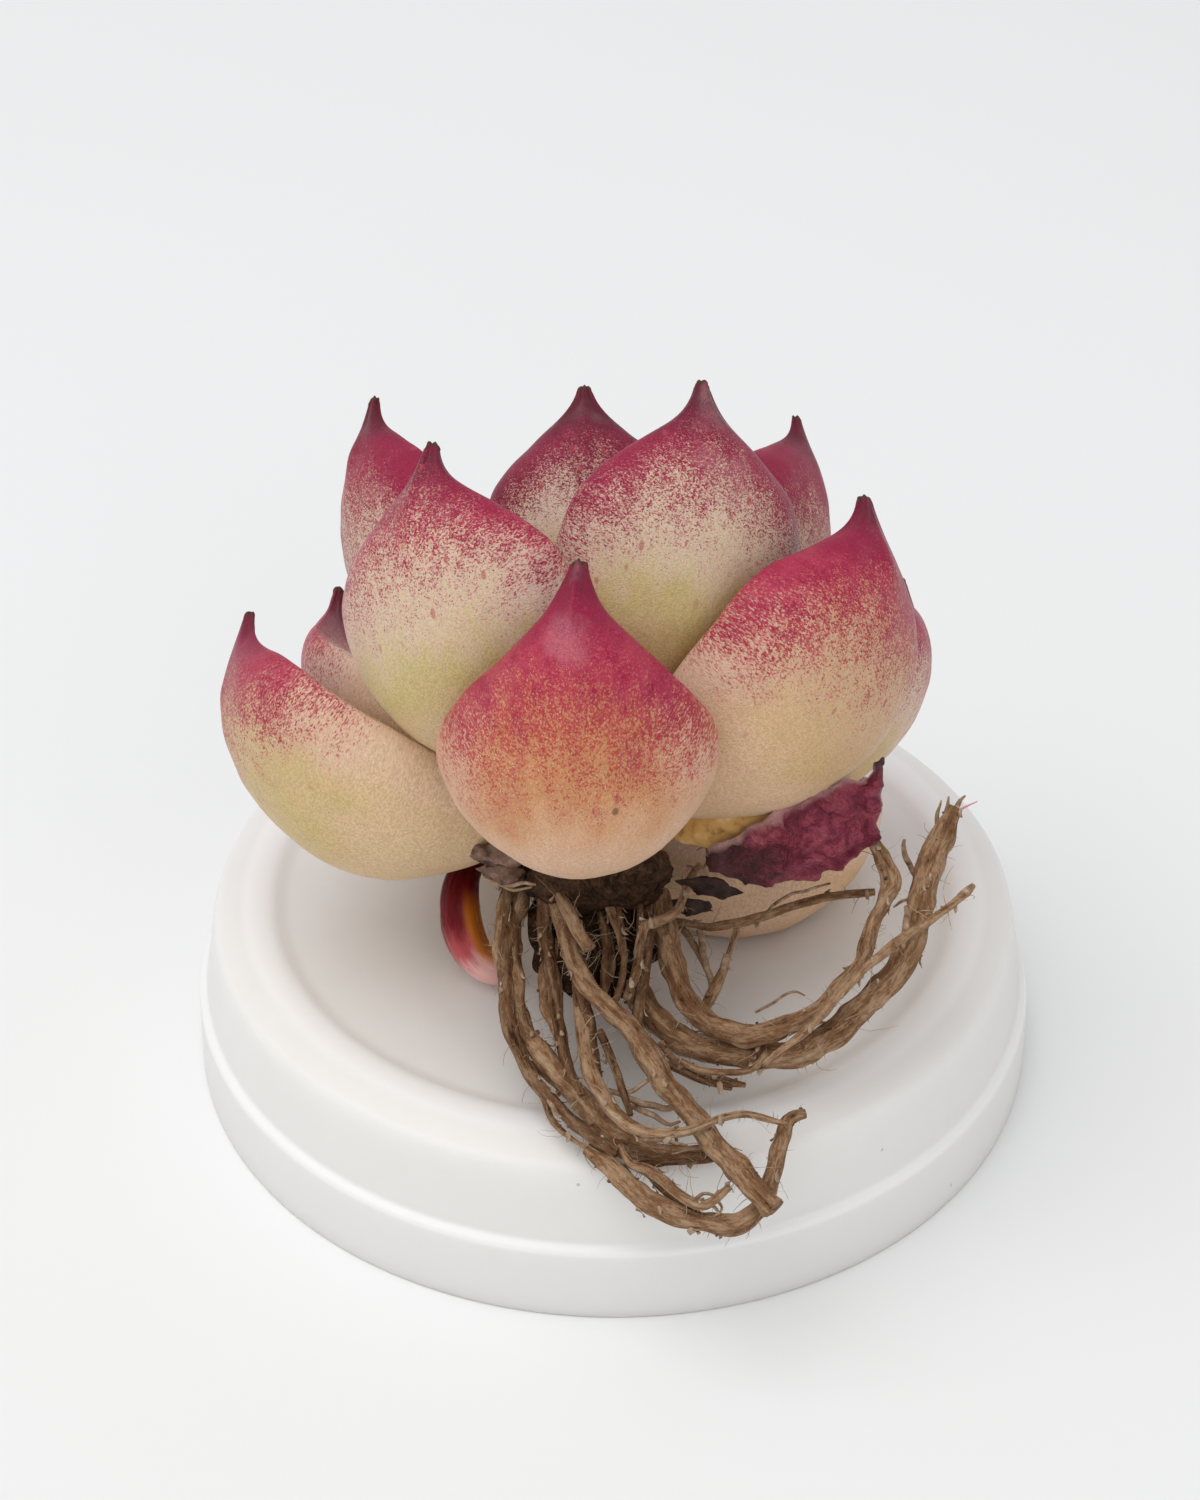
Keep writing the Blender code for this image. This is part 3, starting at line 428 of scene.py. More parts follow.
class RootSettings(bpy.types.PropertyGroup):
    """The roots, their hairs and the crown."""

    sides: IntProperty(name="Sides", description="Faces round a root", default=20, min=6)
    step: FloatProperty(name="Step", description="Millimetres between the rings of a root", default=0.28, min=0.05)
    ridges: FloatProperty(name="Ridges", description="Height of ridges, as a share of the radius", default=0.34)
    hairs: IntProperty(name="Hairs", description="Fine hairs over all roots", default=1500, min=0)
    flakes: IntProperty(name="Flakes", description="Loose flakes of bark", default=260, min=0)
    crumbs: IntProperty(name="Crumbs", description="Grains of soil left on the roots", default=150, min=0)
    bark_dark: colour("Bark hollows", (0.050, 0.021, 0.009), "The hollows of the bark")
    bark_mid: colour("Bark", (0.245, 0.125, 0.060), "Most of the bark")
    bark_light: colour("Bark ridges", (0.45, 0.285, 0.165), "The ridges of the bark")


class LidSettings(bpy.types.PropertyGroup):
    """The frosted lid."""

    steps: IntProperty(name="Steps", description="Faces round the lid", default=192, min=24)
    frost: colour("Frosted plastic", (0.86, 0.84, 0.815), "The plastic as it shows on a pale table")
    rim: colour("Rim", (0.93, 0.92, 0.91), "Thicker edges that catch the light")


class StageSettings(bpy.types.PropertyGroup):
    """The floor, lamps and camera."""

    floor: colour("Floor", (0.88, 0.885, 0.885), "The pale table")
    distance: FloatProperty(name="Distance", description="From the camera to the plant", default=0.25, unit="LENGTH")
    elevation: FloatProperty(name="Elevation", description="Of the camera", default=CAMERA_HEIGHT, subtype="ANGLE")
    sky: FloatProperty(name="Sky", description="Strength of the even light from all round", default=0.60)
    key: FloatProperty(name="Key lamp", description="Power of the lamp overhead", default=5.0, unit="POWER")
    fill: FloatProperty(name="Fill lamp", description="Power of the lamp in front", default=1.2, unit="POWER")


# ---------------------------------------------------------------- shape helpers


def axes_frame(start, right, forward, up):
    """Millimetres in a turned frame to metres in the world."""
    turned = Matrix((right, forward, up)).transposed().to_4x4()
    return Matrix.Scale(MM, 4) @ Matrix.Translation(start) @ turned


def plant_frame():
    """Local X is the plant's right, Y its front (the roots' side), Z along its axis from crown to tips."""
    axis = Vector((0.0, math.sin(LEAN_BACK), math.cos(LEAN_BACK)))
    front = Vector((0.0, -math.cos(LEAN_BACK), math.sin(LEAN_BACK)))
    return axes_frame(CROWN, Vector((1.0, 0.0, 0.0)), front, axis)


def roots_frame():
    """Local X is right, Y out along the roots, Z up from them."""
    out = Vector((0.0, -math.cos(ROOTS_DIP), -math.sin(ROOTS_DIP)))
    up = Vector((0.0, -math.sin(ROOTS_DIP), math.cos(ROOTS_DIP)))
    return axes_frame(ROOTS_START, Vector((1.0, 0.0, 0.0)), out, up)


def moved(points, matrix):
    """An array of points through a matrix."""
    turned = np.array(matrix, float)
    return points @ turned[:3, :3].T + turned[:3, 3]


def through(before, low, high, after, part):
    """The smooth curve between low and high, for numbers, vectors or arrays."""
    square, cube = part * part, part**3
    rise_low, rise_high = (high - before) * 0.5, (after - low) * 0.5
    start = low * (2 * cube - 3 * square + 1) + rise_low * (cube - 2 * square + part)
    return start + high * (3 * square - 2 * cube) + rise_high * (cube - square)


def share_at(shares, along):
    """Values of a profile at places from 0 to 1, on a smooth curve through its even steps."""
    values = np.array(shares, float)
    place = along * (len(values) - 1)
    step = np.minimum(place.astype(int), len(values) - 2)
    before, after = np.maximum(step - 1, 0), np.minimum(step + 2, len(values) - 1)
    return np.maximum(through(values[before], values[step], values[step + 1], values[after], place - step), 0.0)


def smooth_part(value, low, high):
    """0 below low, 1 above high, and smooth between."""
    part = np.clip((value - low) / (high - low), 0.0, 1.0)
    return part * part * (3 - 2 * part)


def deselect():
    """Leave nothing selected, in object mode."""
    if bpy.context.mode != "OBJECT":
        bpy.ops.object.mode_set(mode="OBJECT")
    bpy.ops.object.select_all(action="DESELECT")


def make_active(piece):
    """Select one piece alone, for the operators that act on it."""
    deselect()
    piece.select_set(True)
    bpy.context.view_layer.objects.active = piece


def positions(piece):
    """The piece's vertices as an array."""
    spots = np.empty(len(piece.data.vertices) * 3)
    piece.data.vertices.foreach_get("co", spots)
    return spots.reshape(-1, 3)


def set_positions(piece, spots):
    """Move the piece's vertices."""
    piece.data.vertices.foreach_set("co", np.asarray(spots, float).ravel())
    piece.data.update()


def normals(piece):
    """The normals of the piece's vertices as an array."""
    found = np.empty(len(piece.data.vertices) * 3)
    piece.data.vertices.foreach_get("normal", found)
    return found.reshape(-1, 3)


def mark(piece, name, values):
    """Store numbers or vectors on a piece's vertices for its material to read."""
    values = np.asarray(values, np.float32)
    if values.ndim == 1:
        piece.data.attributes.new(name, "FLOAT", "POINT").data.foreach_set("value", values)
    else:
        piece.data.attributes.new(name, "FLOAT_VECTOR", "POINT").data.foreach_set("vector", values.ravel())


def marked(piece, name, count):
    """The numbers that mark stored under a name."""
    values = np.empty(count, np.float32)
    piece.data.attributes[name].data.foreach_get("value", values)
    return values.astype(float)


def ball(name, columns, rings):
    """A round primitive to draw out, with each vertex's (share from pole to pole, cosine, sine)."""
    deselect()
    bpy.ops.mesh.primitive_uv_sphere_add(segments=columns, ring_count=rings, radius=1.0)
    piece = bpy.context.object
    piece.name = piece.data.name = name
    spots = positions(piece)
    ring = np.round(np.arccos(np.clip(-spots[:, 2], -1, 1)) / math.pi * rings)
    flat = np.hypot(spots[:, 0], spots[:, 1])
    wide = np.where(flat > 0.001, 1.0 / np.maximum(flat, 0.001), 0.0)
    return piece, ring, spots[:, 0] * wide, spots[:, 1] * wide


def turn_outwards(piece):
    """Recalculate the piece's normals so that its faces point out."""
    make_active(piece)
    bpy.ops.object.mode_set(mode="EDIT")
    bpy.ops.mesh.select_all(action="SELECT")
    bpy.ops.mesh.normals_make_consistent(inside=False)
    bpy.ops.object.mode_set(mode="OBJECT")


def smooth_faces(piece):
    make_active(piece)
    bpy.ops.object.shade_smooth()


def subdivide(piece, levels=1):
    """Round a piece off with an applied subdivision surface."""
    make_active(piece)
    rounder = piece.modifiers.new("rounded", "SUBSURF")
    rounder.levels = rounder.render_levels = levels
    bpy.ops.object.modifier_apply(modifier=rounder.name)


def noise_at(spots, scale, seed=0.0):
    """Smooth noise from -1 to 1 at each point; scale may differ by axis."""
    places = spots * np.asarray(scale, float) + seed
    return np.array([noise.noise(Vector(place)) for place in places])


def noise_vectors(spots, scale, seed=0.0):
    """A smooth random vector at each point, the same in every run because the seed is set."""
    places = spots * scale + seed
    return np.array([noise.noise_vector(Vector(place)) for place in places])


def finish_piece(piece, look, slot_name, *replaced):
    """Give a piece its material and its place on the frame."""
    piece.data.materials.clear()
    piece.data.materials.append(look)
    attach(piece, BODY)
    if replaced:
        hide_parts(*replaced)
    return piece


def join_pieces(pieces, name):
    """Make several meshes one piece."""
    deselect()
    for piece in pieces:
        piece.select_set(True)
    bpy.context.view_layer.objects.active = pieces[0]
    bpy.ops.object.join()
    joined = bpy.context.object
    joined.name = joined.data.name = name
    return joined


# ---------------------------------------------------------------- leaves


def leaf_form(index):
    """Where a leaf starts and ends, as (distance from the axis, height above the crown), and how it grows."""
    if index >= BUD_FROM:
        return bud_form(index - BUD_FROM)
    # Each younger leaf ends nearer to the axis and higher, starts higher on the stem, and is more upright.
    change = LEAF_CHANGES.get(index, {})
    radius = 28.0 - 0.098 * index**2 + change.get("radius", 0.0)
    height = 15.2 + 2.5 * index - 0.061 * index**2 + change.get("height", 0.0)
    return {
        "turn": GOLDEN_ANGLE * index + change.get("turn", 0.0),
        "base": (4.6 - 0.12 * index, 1.5 + 0.9 * index + change.get("base_height", 0.0)),
        "tip": (radius, height),
        "slopes": (-12.0 + 5.0 * index + change.get("slope", 0.0), 98.0),
        "width": 20.7 - 0.027 * index**2,
        "lean": change.get("lean", 0.0),
        "drop": change.get("drop", 0.0),
        "back": change.get("back", 0.32 - 0.006 * index),
        "face": 0.12 - 0.003 * index,
        "cup": 0.10,
    }


def bud_form(young):
    """A leaf of the closed bud: nearly upright, close to the axis."""
    return {
        "turn": GOLDEN_ANGLE * (BUD_FROM + young),
        "base": (2.4 - 0.25 * young, 13.0 + 0.6 * young),
        "tip": (7.4 - 1.0 * young, 34.5 - 1.1 * young),
        "slopes": (62.0 + 3.0 * young, 102.0),
        "width": 13.5 - 1.4 * young,
        "back": 0.22,
        "face": 0.08,
        "cup": 0.12,
    }


def width_share(form, along):
    """A leaf's width along it, as a share of its largest."""
    share = share_at(WIDTH_SHARES, along)
    return share + (share_at(DROP_SHARES, along) - share) * form.get("drop", 0.0)


def direction_of(degrees):
    return np.array((math.cos(math.radians(degrees)), math.sin(math.radians(degrees))))


def on_leaf_line(form, along):
    """(places, directions) on the Bezier curve that a leaf's middle follows in the plane of the axis."""
    base, tip = np.array(form["base"]), np.array(form["tip"])
    reach = np.linalg.norm(tip - base)
    start, end = (direction_of(slope) for slope in form["slopes"])
    first, second = base + start * reach * 0.45, tip - end * reach * 0.38
    part = along[:, None]
    rest = 1 - part
    place = rest**3 * base + 3 * rest**2 * part * first + 3 * rest * part**2 * second + part**3 * tip
    course = rest**2 * (first - base) + 2 * rest * part * (second - first) + part**2 * (tip - second)
    return place, course / np.linalg.norm(course, axis=1)[:, None]


def leaf_points(form, along, side, swell, keel=0.0):
    """Points on a leaf's skin in the plant's frame, in millimetres.

    side runs from -1 to 1 across the leaf and swell from -1 (its inner face) to 1 (its back).
    """
    place, course = on_leaf_line(form, along)
    outward = np.stack((course[:, 1], -course[:, 0]), axis=1)
    width = form["width"] * width_share(form, along)
    across = width / 2 * side
    bulge = np.where(swell > 0, form["back"], form["face"])
    thickness = form["width"] * bulge * share_at(THICKNESS_SHARES, along) * swell
    ridge = keel * form["width"] * np.exp(-((side / KEEL_SPREAD) ** 2)) * smooth_part(along, 0.62, 0.86)
    thickness = thickness + np.where(swell > 0, ridge * share_at(THICKNESS_SHARES, along) * KEEL_GAIN, 0.0)
    lift = form["cup"] * width * side * side
    twist = math.radians(form.get("twist", 0.0))
    flat = place + outward * (thickness * math.cos(twist) - lift + across * math.sin(twist))[:, None]
    across = across * math.cos(twist) - thickness * math.sin(twist) + form.get("lean", 0.0) * along**2
    turn = math.radians(form["turn"])
    x = math.sin(turn) * flat[:, 0] + math.cos(turn) * across
    y = math.cos(turn) * flat[:, 0] - math.sin(turn) * across
    return np.stack((x, y, flat[:, 1]), axis=1)


def press_on_lid(spots):
    """Keep points in metres above the lid's panel and its ring."""
    from_middle = np.hypot(spots[:, 0] / MM, spots[:, 1] / MM - LID_BACK)
    lowest = np.where(from_middle < LID_PANEL_RADIUS - 0.8, LID_HEIGHT + GAP, LID_HEIGHT + GAP + LID_BEAD_HEIGHT)
    spots[:, 2] = np.maximum(spots[:, 2], lowest * MM)
    return spots


def draw_leaf(name, form, columns, rings, keel=0.0, shift=(0.0, 0.0), depth=1.0):
    """A round primitive drawn out to a leaf and marked for its material, a pattern's shift and depth included."""
    piece, ring, side, swell = ball(name, columns, rings)
    along = 1 - (1 - ring / rings) ** RING_CROWDING
    spots = leaf_points(form, along, side, swell, keel)
    length = np.linalg.norm(np.array(form["tip"]) - np.array(form["base"])) * CURVE_LENGTH
    across = form["width"] / 2 * width_share(form, along) * side
    mark(piece, "leaf_place", np.stack((across + shift[0], along * length, swell * depth + shift[1]), axis=1))
    mark(piece, "along", along)
    mark(piece, "side", side)
    mark(piece, "back", swell)
    return piece, spots


def build_leaf(index, settings):
    """A living leaf, drawn out from a round primitive, smoothed and made a little uneven."""
    shift = (61.0 * index, 17.0 * index)
    name = f"visual_leaf_{index + 1:02d}"
    piece, spots = draw_leaf(name, leaf_form(index), settings.columns, settings.rings, settings.keel, shift, 2.0)
    set_positions(piece, moved(spots, plant_frame()))
    subdivide(piece)
    turn_outwards(piece)
    smooth_faces(piece)
    spots = positions(piece)
    count = len(spots)
    along = marked(piece, "along", count)
    uneven = noise_at(spots / MM, 0.16, 3.1 * index) + 0.35 * noise_at(spots / MM, 0.5, 7.7 * index)
    # The neck below the tip is folded lengthwise, and the tip itself is dry and ragged.
    angle = np.arctan2(marked(piece, "back", count), marked(piece, "side", count))
    folds = np.sin(angle * 5 + index) * smooth_part(along, 0.84, 0.93) * 0.10
    folds = folds + noise_at(spots / MM, 2.6, 1.7 * index) * smooth_part(along, 0.97, 0.985) * 0.14
    uneven = uneven * settings.waviness * (1 - smooth_part(along, 0.8, 0.95))
    set_positions(piece, press_on_lid(spots + normals(piece) * ((uneven + folds) * MM)[:, None]))
    for look, value in zip(LOOK_NAMES, LEAF_LOOKS.get(index, USUAL_LOOK)):
        mark(piece, look, np.full(count, value))
    return piece


def build_dried_leaf(name, form, columns=32, rings=44, wrinkles=1.0):
    """A thin dried leaf, crumpled in three sizes of fold."""
    piece, spots = draw_leaf(name, form, columns, rings)
    spots = spots + noise_vectors(spots, 0.45) * form["crumple"]
    set_positions(piece, moved(spots, plant_frame()))
    subdivide(piece)
    spots = positions(piece)
    folds = noise_vectors(spots / MM, 0.8, 5.0) * 0.50 + noise_vectors(spots / MM, 2.2, 9.0) * 0.16
    set_positions(piece, press_on_lid(spots + folds * wrinkles * MM))
    turn_outwards(piece)
    smooth_faces(piece)
    return piece


# ---------------------------------------------------------------- roots


def smooth_row(row, step):
    """A row of (x, y, z, radius) resampled at even distances on the smooth curve through it."""
    points = np.array(row, float)
    fine = []
    for place in range(len(points) - 1):
        before, after = points[max(place - 1, 0)], points[min(place + 2, len(points) - 1)]
        for part in np.arange(0.0, 1.0, 0.05):
            fine.append(through(before, points[place], points[place + 1], after, part))
    fine = np.array([*fine, points[-1]])
    reach = np.concatenate(([0.0], np.cumsum(np.linalg.norm(np.diff(fine[:, :3], axis=0), axis=1))))
    count = max(4, int(round(reach[-1] / step)))
    even = np.linspace(0.0, reach[-1], count + 1)
    return np.stack([np.interp(even, reach, fine[:, axis]) for axis in range(4)], axis=1), even


def cross_axes(centres):
    """Two directions across a line at each of its points, carried along it without twisting."""
    course = np.gradient(centres, axis=0)
    course /= np.linalg.norm(course, axis=1)[:, None]
    first = np.cross(course[0], (0.3, 0.2, 1.0))
    first /= np.linalg.norm(first)
    firsts = [first]
    for direction in course[1:]:
        first = firsts[-1] - direction * np.dot(firsts[-1], direction)
        firsts.append(first / np.linalg.norm(first))
    firsts = np.array(firsts)
    return firsts, np.cross(course, firsts)


def build_root(name, row, settings, seed):
    """A root drawn out from a round primitive, with ridges, knots and hollows in its bark."""
    rng = random.Random(seed)
    line, reach = smooth_row(row, settings.step)
    centres = line[:, :3] + noise_vectors(line[:, :3], 0.55, seed * 3.7) * 0.16 * np.minimum(line[:, 3:], 0.6)
    rings = len(line) + 1
    sides = max(8, int(settings.sides * min(1.0, 0.35 + line[:, 3].mean())))
    piece, ring, cosine, sine = ball(name, sides, rings)
    at = np.clip(ring.astype(int) - 1, 0, len(line) - 1)
    first, second = cross_axes(centres)
    radius = line[at, 3]
    flesh = np.stack((cosine * 1.5, sine * 1.5, reach[at] * 0.30), axis=1)
    grain = np.stack((cosine * 3.4, sine * 3.4, reach[at] * 0.75), axis=1)
    ridge = noise_at(flesh, 1.0, seed * 11.3) + 0.45 * noise_at(grain, 1.0, seed * 5.1)
    knots = noise_at(np.stack((reach[at] * 0.62, cosine * 0.5, sine * 0.5), axis=1), 1.0, seed * 2.9)
    radius = radius * (1.0 + settings.ridges * ridge + 0.22 * knots)
    off_axis = np.where((ring == 0) | (ring == rings), 0.0, 1.0)
    spots = centres[at] + (first[at] * cosine[:, None] + second[at] * sine[:, None]) * (radius * off_axis)[:, None]
    ends = np.where(ring == 0, -0.2, np.where(ring == rings, 0.2, 0.0)) * line[at, 3]
    course = np.gradient(centres, axis=0)
    spots += course[at] / np.linalg.norm(course[at], axis=1)[:, None] * ends[:, None]
    shift = rng.uniform(0, 90)
    mark(piece, "bark_place", np.stack((cosine * line[at, 3] + shift, sine * line[at, 3], reach[at] + shift), axis=1))
    mark(piece, "bark_ridge", ridge)
    set_positions(piece, moved(spots, roots_frame()))
    smooth_faces(piece)
    turn_outwards(piece)
    return piece


def build_fibres(name, rows, sides=0):
    """Many fine strands as one mesh, from rows of points in metres and radii in millimetres."""
    data = bpy.data.curves.new(name, "CURVE")
    data.dimensions = "3D"
    data.bevel_depth = MM
    data.bevel_resolution = sides
    data.use_fill_caps = True
    for row in rows:
        spline = data.splines.new("POLY")
        spline.points.add(len(row) - 1)
        for target, (spot, radius) in zip(spline.points, row):
            target.co = (*spot, 1.0)
            target.radius = radius
        spline.use_smooth = True
    strands = bpy.data.objects.new(name, data)
    bpy.context.scene.collection.objects.link(strands)
    make_active(strands)
    bpy.ops.object.convert(target="MESH")
    piece = bpy.context.object
    piece.name = piece.data.name = name
    smooth_faces(piece)
    return piece


def build_fibre_and_shade_mass():
    """The dark lump between the roots: partly old fibres and soil, partly painted shade under the leaves."""
    mass = ball("visual_fibre_and_shade_mass", 48, 36)[0]
    middle, half_sizes = (np.array(row) for row in FIBRE_AND_SHADE_MASS)
    spots = positions(mass)
    lumps = noise_at(spots, 2.6, 3.0) * 0.22 + noise_at(spots, 7.0, 1.0) * 0.10
    spots = spots * (1.0 + lumps)[:, None] * half_sizes + middle
    mark(mass, "bark_place", spots)
    mark(mass, "bark_ridge", lumps)
    set_positions(mass, moved(spots, roots_frame()))
    subdivide(mass)
    smooth_faces(mass)
    return mass


def strand_row(row, waves=0.0, thinnest=0.0):
    """A row like a root's as points in metres and radii for build_fibres."""
    line, _ = smooth_row(row, 0.25)
    if waves:
        line[:, :3] += noise_vectors(line[:, :3], 1.1, 2.0) * waves
    to_world = roots_frame()
    return [(tuple(to_world @ Vector(point[:3])), max(point[3], thinnest)) for point in line]


def skin_spots(pieces, count, rng):
    """Places and normals at random vertices of some pieces."""
    found = []
    sizes = [len(piece.data.vertices) for piece in pieces]
    for piece in rng.choices(pieces, weights=sizes, k=count):
        vertex = piece.data.vertices[rng.randrange(len(piece.data.vertices))]
        found.append((vertex.co.copy(), vertex.normal.copy()))
    return found


def hair_rows(roots, count, rng):
    """Fine hairs that leave the bark, mostly short, and curl."""
    rows = []
    for start, normal in skin_spots(roots, count, rng):
        long = rng.random() < LONG_HAIRS
        reach = (rng.uniform(1.6, 4.2) if long else rng.uniform(0.35, 1.3)) * MM
        thick = rng.uniform(0.013, 0.032) * (1.5 if long else 1.0)
        course = (normal + Vector([rng.uniform(-0.9, 0.9) for _ in range(3)])).normalized()
        spot, row = start - normal * 0.05 * MM, []
        steps = 7 if long else 4
        bend = Vector([rng.uniform(-0.5, 0.5) for _ in range(3)])
        for step in range(steps):
            row.append((tuple(spot), thick * (1.0 - 0.65 * step / (steps - 1))))
            course = (course + bend * 0.6 + Vector([rng.uniform(-0.3, 0.3) for _ in range(3)])).normalized()
            spot = spot + course * reach / steps
        if spot.z > GAP * MM and spot.y > CAD_BOX[0][1] - HAIR_REACH:
            rows.append(row)
    return rows


def build_flakes(name, roots, count, rng):
    """Small curled flakes of bark that have come half away, copied from one bent sliver."""
    deselect()
    bpy.ops.mesh.primitive_grid_add(x_subdivisions=3, y_subdivisions=2, size=2.0)
    sliver = bpy.context.object
    for vertex in sliver.data.vertices:
        vertex.co.z = 0.28 * vertex.co.x**2 + 0.2 * vertex.co.y * vertex.co.x
        vertex.co.y *= 0.55 - 0.25 * abs(vertex.co.x)
    flakes = []
    for spot, normal in skin_spots(roots, count, rng):
        copy = sliver.copy()
        copy.data = sliver.data.copy()
        bpy.context.scene.collection.objects.link(copy)
        upright = Vector((0.0, -math.cos(ROOTS_DIP), -math.sin(ROOTS_DIP)))
        lengthwise = (upright - normal * upright.dot(normal)).normalized()
        if abs(normal.dot(upright)) >= 0.95:
            lengthwise = normal.orthogonal()
        sideways = normal.cross(lengthwise)
        size = rng.uniform(0.16, 0.5) * MM
        tilt = normal * rng.uniform(0.1, 0.7)
        turned = Matrix(((lengthwise + tilt).normalized(), sideways, normal)).transposed().to_4x4()
        copy.data.transform(Matrix.Translation(spot + normal * 0.06 * MM) @ turned @ Matrix.Scale(size, 4))
        flakes.append(copy)
    bpy.data.objects.remove(sliver)
    piece = join_pieces(flakes, name)
    wall = piece.modifiers.new("wall", "SOLIDIFY")
    wall.thickness = 0.035 * MM
    bpy.ops.object.modifier_apply(modifier=wall.name)
    smooth_faces(piece)
    return piece


def build_crumbs(name, roots, count, rng):
    """Grains of old soil, each a copy of one small lump."""
    deselect()
    bpy.ops.mesh.primitive_ico_sphere_add(subdivisions=1, radius=1.0)
    lump = bpy.context.object
    crumbs = []
    for spot, normal in skin_spots(roots, count, rng):
        copy = lump.copy()
        copy.data = lump.data.copy()
        bpy.context.scene.collection.objects.link(copy)
        size = rng.uniform(0.06, 0.2) * MM
        for vertex in copy.data.vertices:
            vertex.co *= rng.uniform(0.65, 1.25)
        copy.data.transform(Matrix.Translation(spot + normal * size * 0.4) @ Matrix.Scale(size, 4))
        crumbs.append(copy)
    bpy.data.objects.remove(lump)
    piece = join_pieces(crumbs, name)
    smooth_faces(piece)
    return piece


# ---------------------------------------------------------------- node helpers


VECTOR, NUMBER = "NodeSocketVector", "NodeSocketFloat"


def connect(tree, source, socket):
    """Feed a socket from another one or set its value."""
    if isinstance(source, bpy.types.NodeSocket):
        tree.links.new(source, socket)
    else:
        socket.default_value = source


def node(tree, kind, inputs=None, **settings):
    """A new node with its inputs fed and its settings made."""
    made = tree.nodes.new(kind)
    for name, value in settings.items():
        setattr(made, name, value)
    for name, source in (inputs or {}).items():
        connect(tree, source, made.inputs[name])
    return made


def maths(tree, operation, first, second=0.0, clamp=False):
    return node(tree, "ShaderNodeMath", {0: first, 1: second}, operation=operation, use_clamp=clamp).outputs[0]


def plus(tree, first, second):
    return maths(tree, "ADD", first, second)


def minus(tree, first, second):
    return maths(tree, "SUBTRACT", first, second)


def times(tree, first, second):
    return maths(tree, "MULTIPLY", first, second)


def weighed(tree, start, *parts):
    """A value with others added to it, each times its own weight."""
    for value, weight in parts:
        start = plus(tree, start, times(tree, value, weight))
    return start


def mixed(tree, share, first, second, mode="MIX"):
    """Two colours mixed by a share."""
    made = node(tree, "ShaderNodeMix", data_type="RGBA", blend_type=mode)
    connect(tree, share, made.inputs[0])
    connect(tree, first, made.inputs[6])
    connect(tree, second, made.inputs[7])
    return made.outputs[2]


def washed(tree, shade, mask, strength, tint):
    """A colour with a tint over it where the mask is."""
    return mixed(tree, times(tree, mask, strength), shade, (*tuple(tint)[:3], 1.0))


def stepped(tree, value, low, high, start=0.0, end=1.0):
    """A smooth step of a value."""
    inputs = {"Value": value, "From Min": low, "From Max": high, "To Min": start, "To Max": end}
    return node(tree, "ShaderNodeMapRange", inputs, interpolation_type="SMOOTHSTEP").outputs[0]


def around(tree, value):
    """A value from 0 to 1 moved to run from -0.5 to 0.5."""
    return minus(tree, value, 0.5)


def grey(tree, value):
    """A value as a grey colour."""
    return node(tree, "ShaderNodeCombineColor", {0: value, 1: value, 2: value}).outputs[0]


def ramp(tree, value, stops):
    """A value as a colour, by stops of (place, colour)."""
    made = node(tree, "ShaderNodeValToRGB", {"Fac": value})
    made.color_ramp.interpolation = "EASE"
    while len(made.color_ramp.elements) < len(stops):
        made.color_ramp.elements.new(0.5)
    for element, (place, shade) in zip(made.color_ramp.elements, stops):
        element.position = place
        element.color = (*shade[:3], 1.0)
    return made.outputs[0]


def stretched(tree, vector, scale):
    return node(tree, "ShaderNodeVectorMath", {0: vector, 1: scale}, operation="MULTIPLY").outputs[0]


def noise_node(tree, vector, scale, detail=2.0, roughness=0.5):
    inputs = {"Vector": vector, "Scale": scale, "Detail": detail, "Roughness": roughness}
    return node(tree, "ShaderNodeTexNoise", inputs).outputs["Fac"]


def attribute(tree, name, output="Fac"):
    return node(tree, "ShaderNodeAttribute", attribute_name=name).outputs[output]


def millimetres(tree):
    """Object coordinates in millimetres."""
    place = node(tree, "ShaderNodeTexCoord").outputs["Object"]
    return stretched(tree, place, (1000.0, 1000.0, 1000.0))


def new_material(name):
    """(material, its node tree, its shader)."""
    made = bpy.data.materials.new(name)
    made.use_nodes = True
    return made, made.node_tree, made.node_tree.nodes["Principled BSDF"]


def new_group(name, inputs, outputs):
    """An empty group with named sockets: (group, its input node, its output node)."""
    group = bpy.data.node_groups.new(name, "ShaderNodeTree")
    for socket, kind in inputs:
        group.interface.new_socket(socket, in_out="INPUT", socket_type=kind)
    for socket, kind in outputs:
        group.interface.new_socket(socket, in_out="OUTPUT", socket_type=kind)
    return group, group.nodes.new("NodeGroupInput"), group.nodes.new("NodeGroupOutput")


def placed_group(tree, group, inputs):
    made = node(tree, "ShaderNodeGroup", node_tree=group)
    for name, source in inputs.items():
        connect(tree, source, made.inputs[name])
    return made


def set_values(shader, values):
    """Constants on a shader's own sockets."""
    for name, value in values.items():
        shader.inputs[name].default_value = value


def add_bump(tree, shader, height, strength, distance):
    """Turn a shader's normal by a height; the distance is in metres."""
    bump = node(tree, "ShaderNodeBump", {"Height": height, "Strength": strength, "Distance": distance})
    connect(tree, bump.outputs[0], shader.inputs["Normal"])


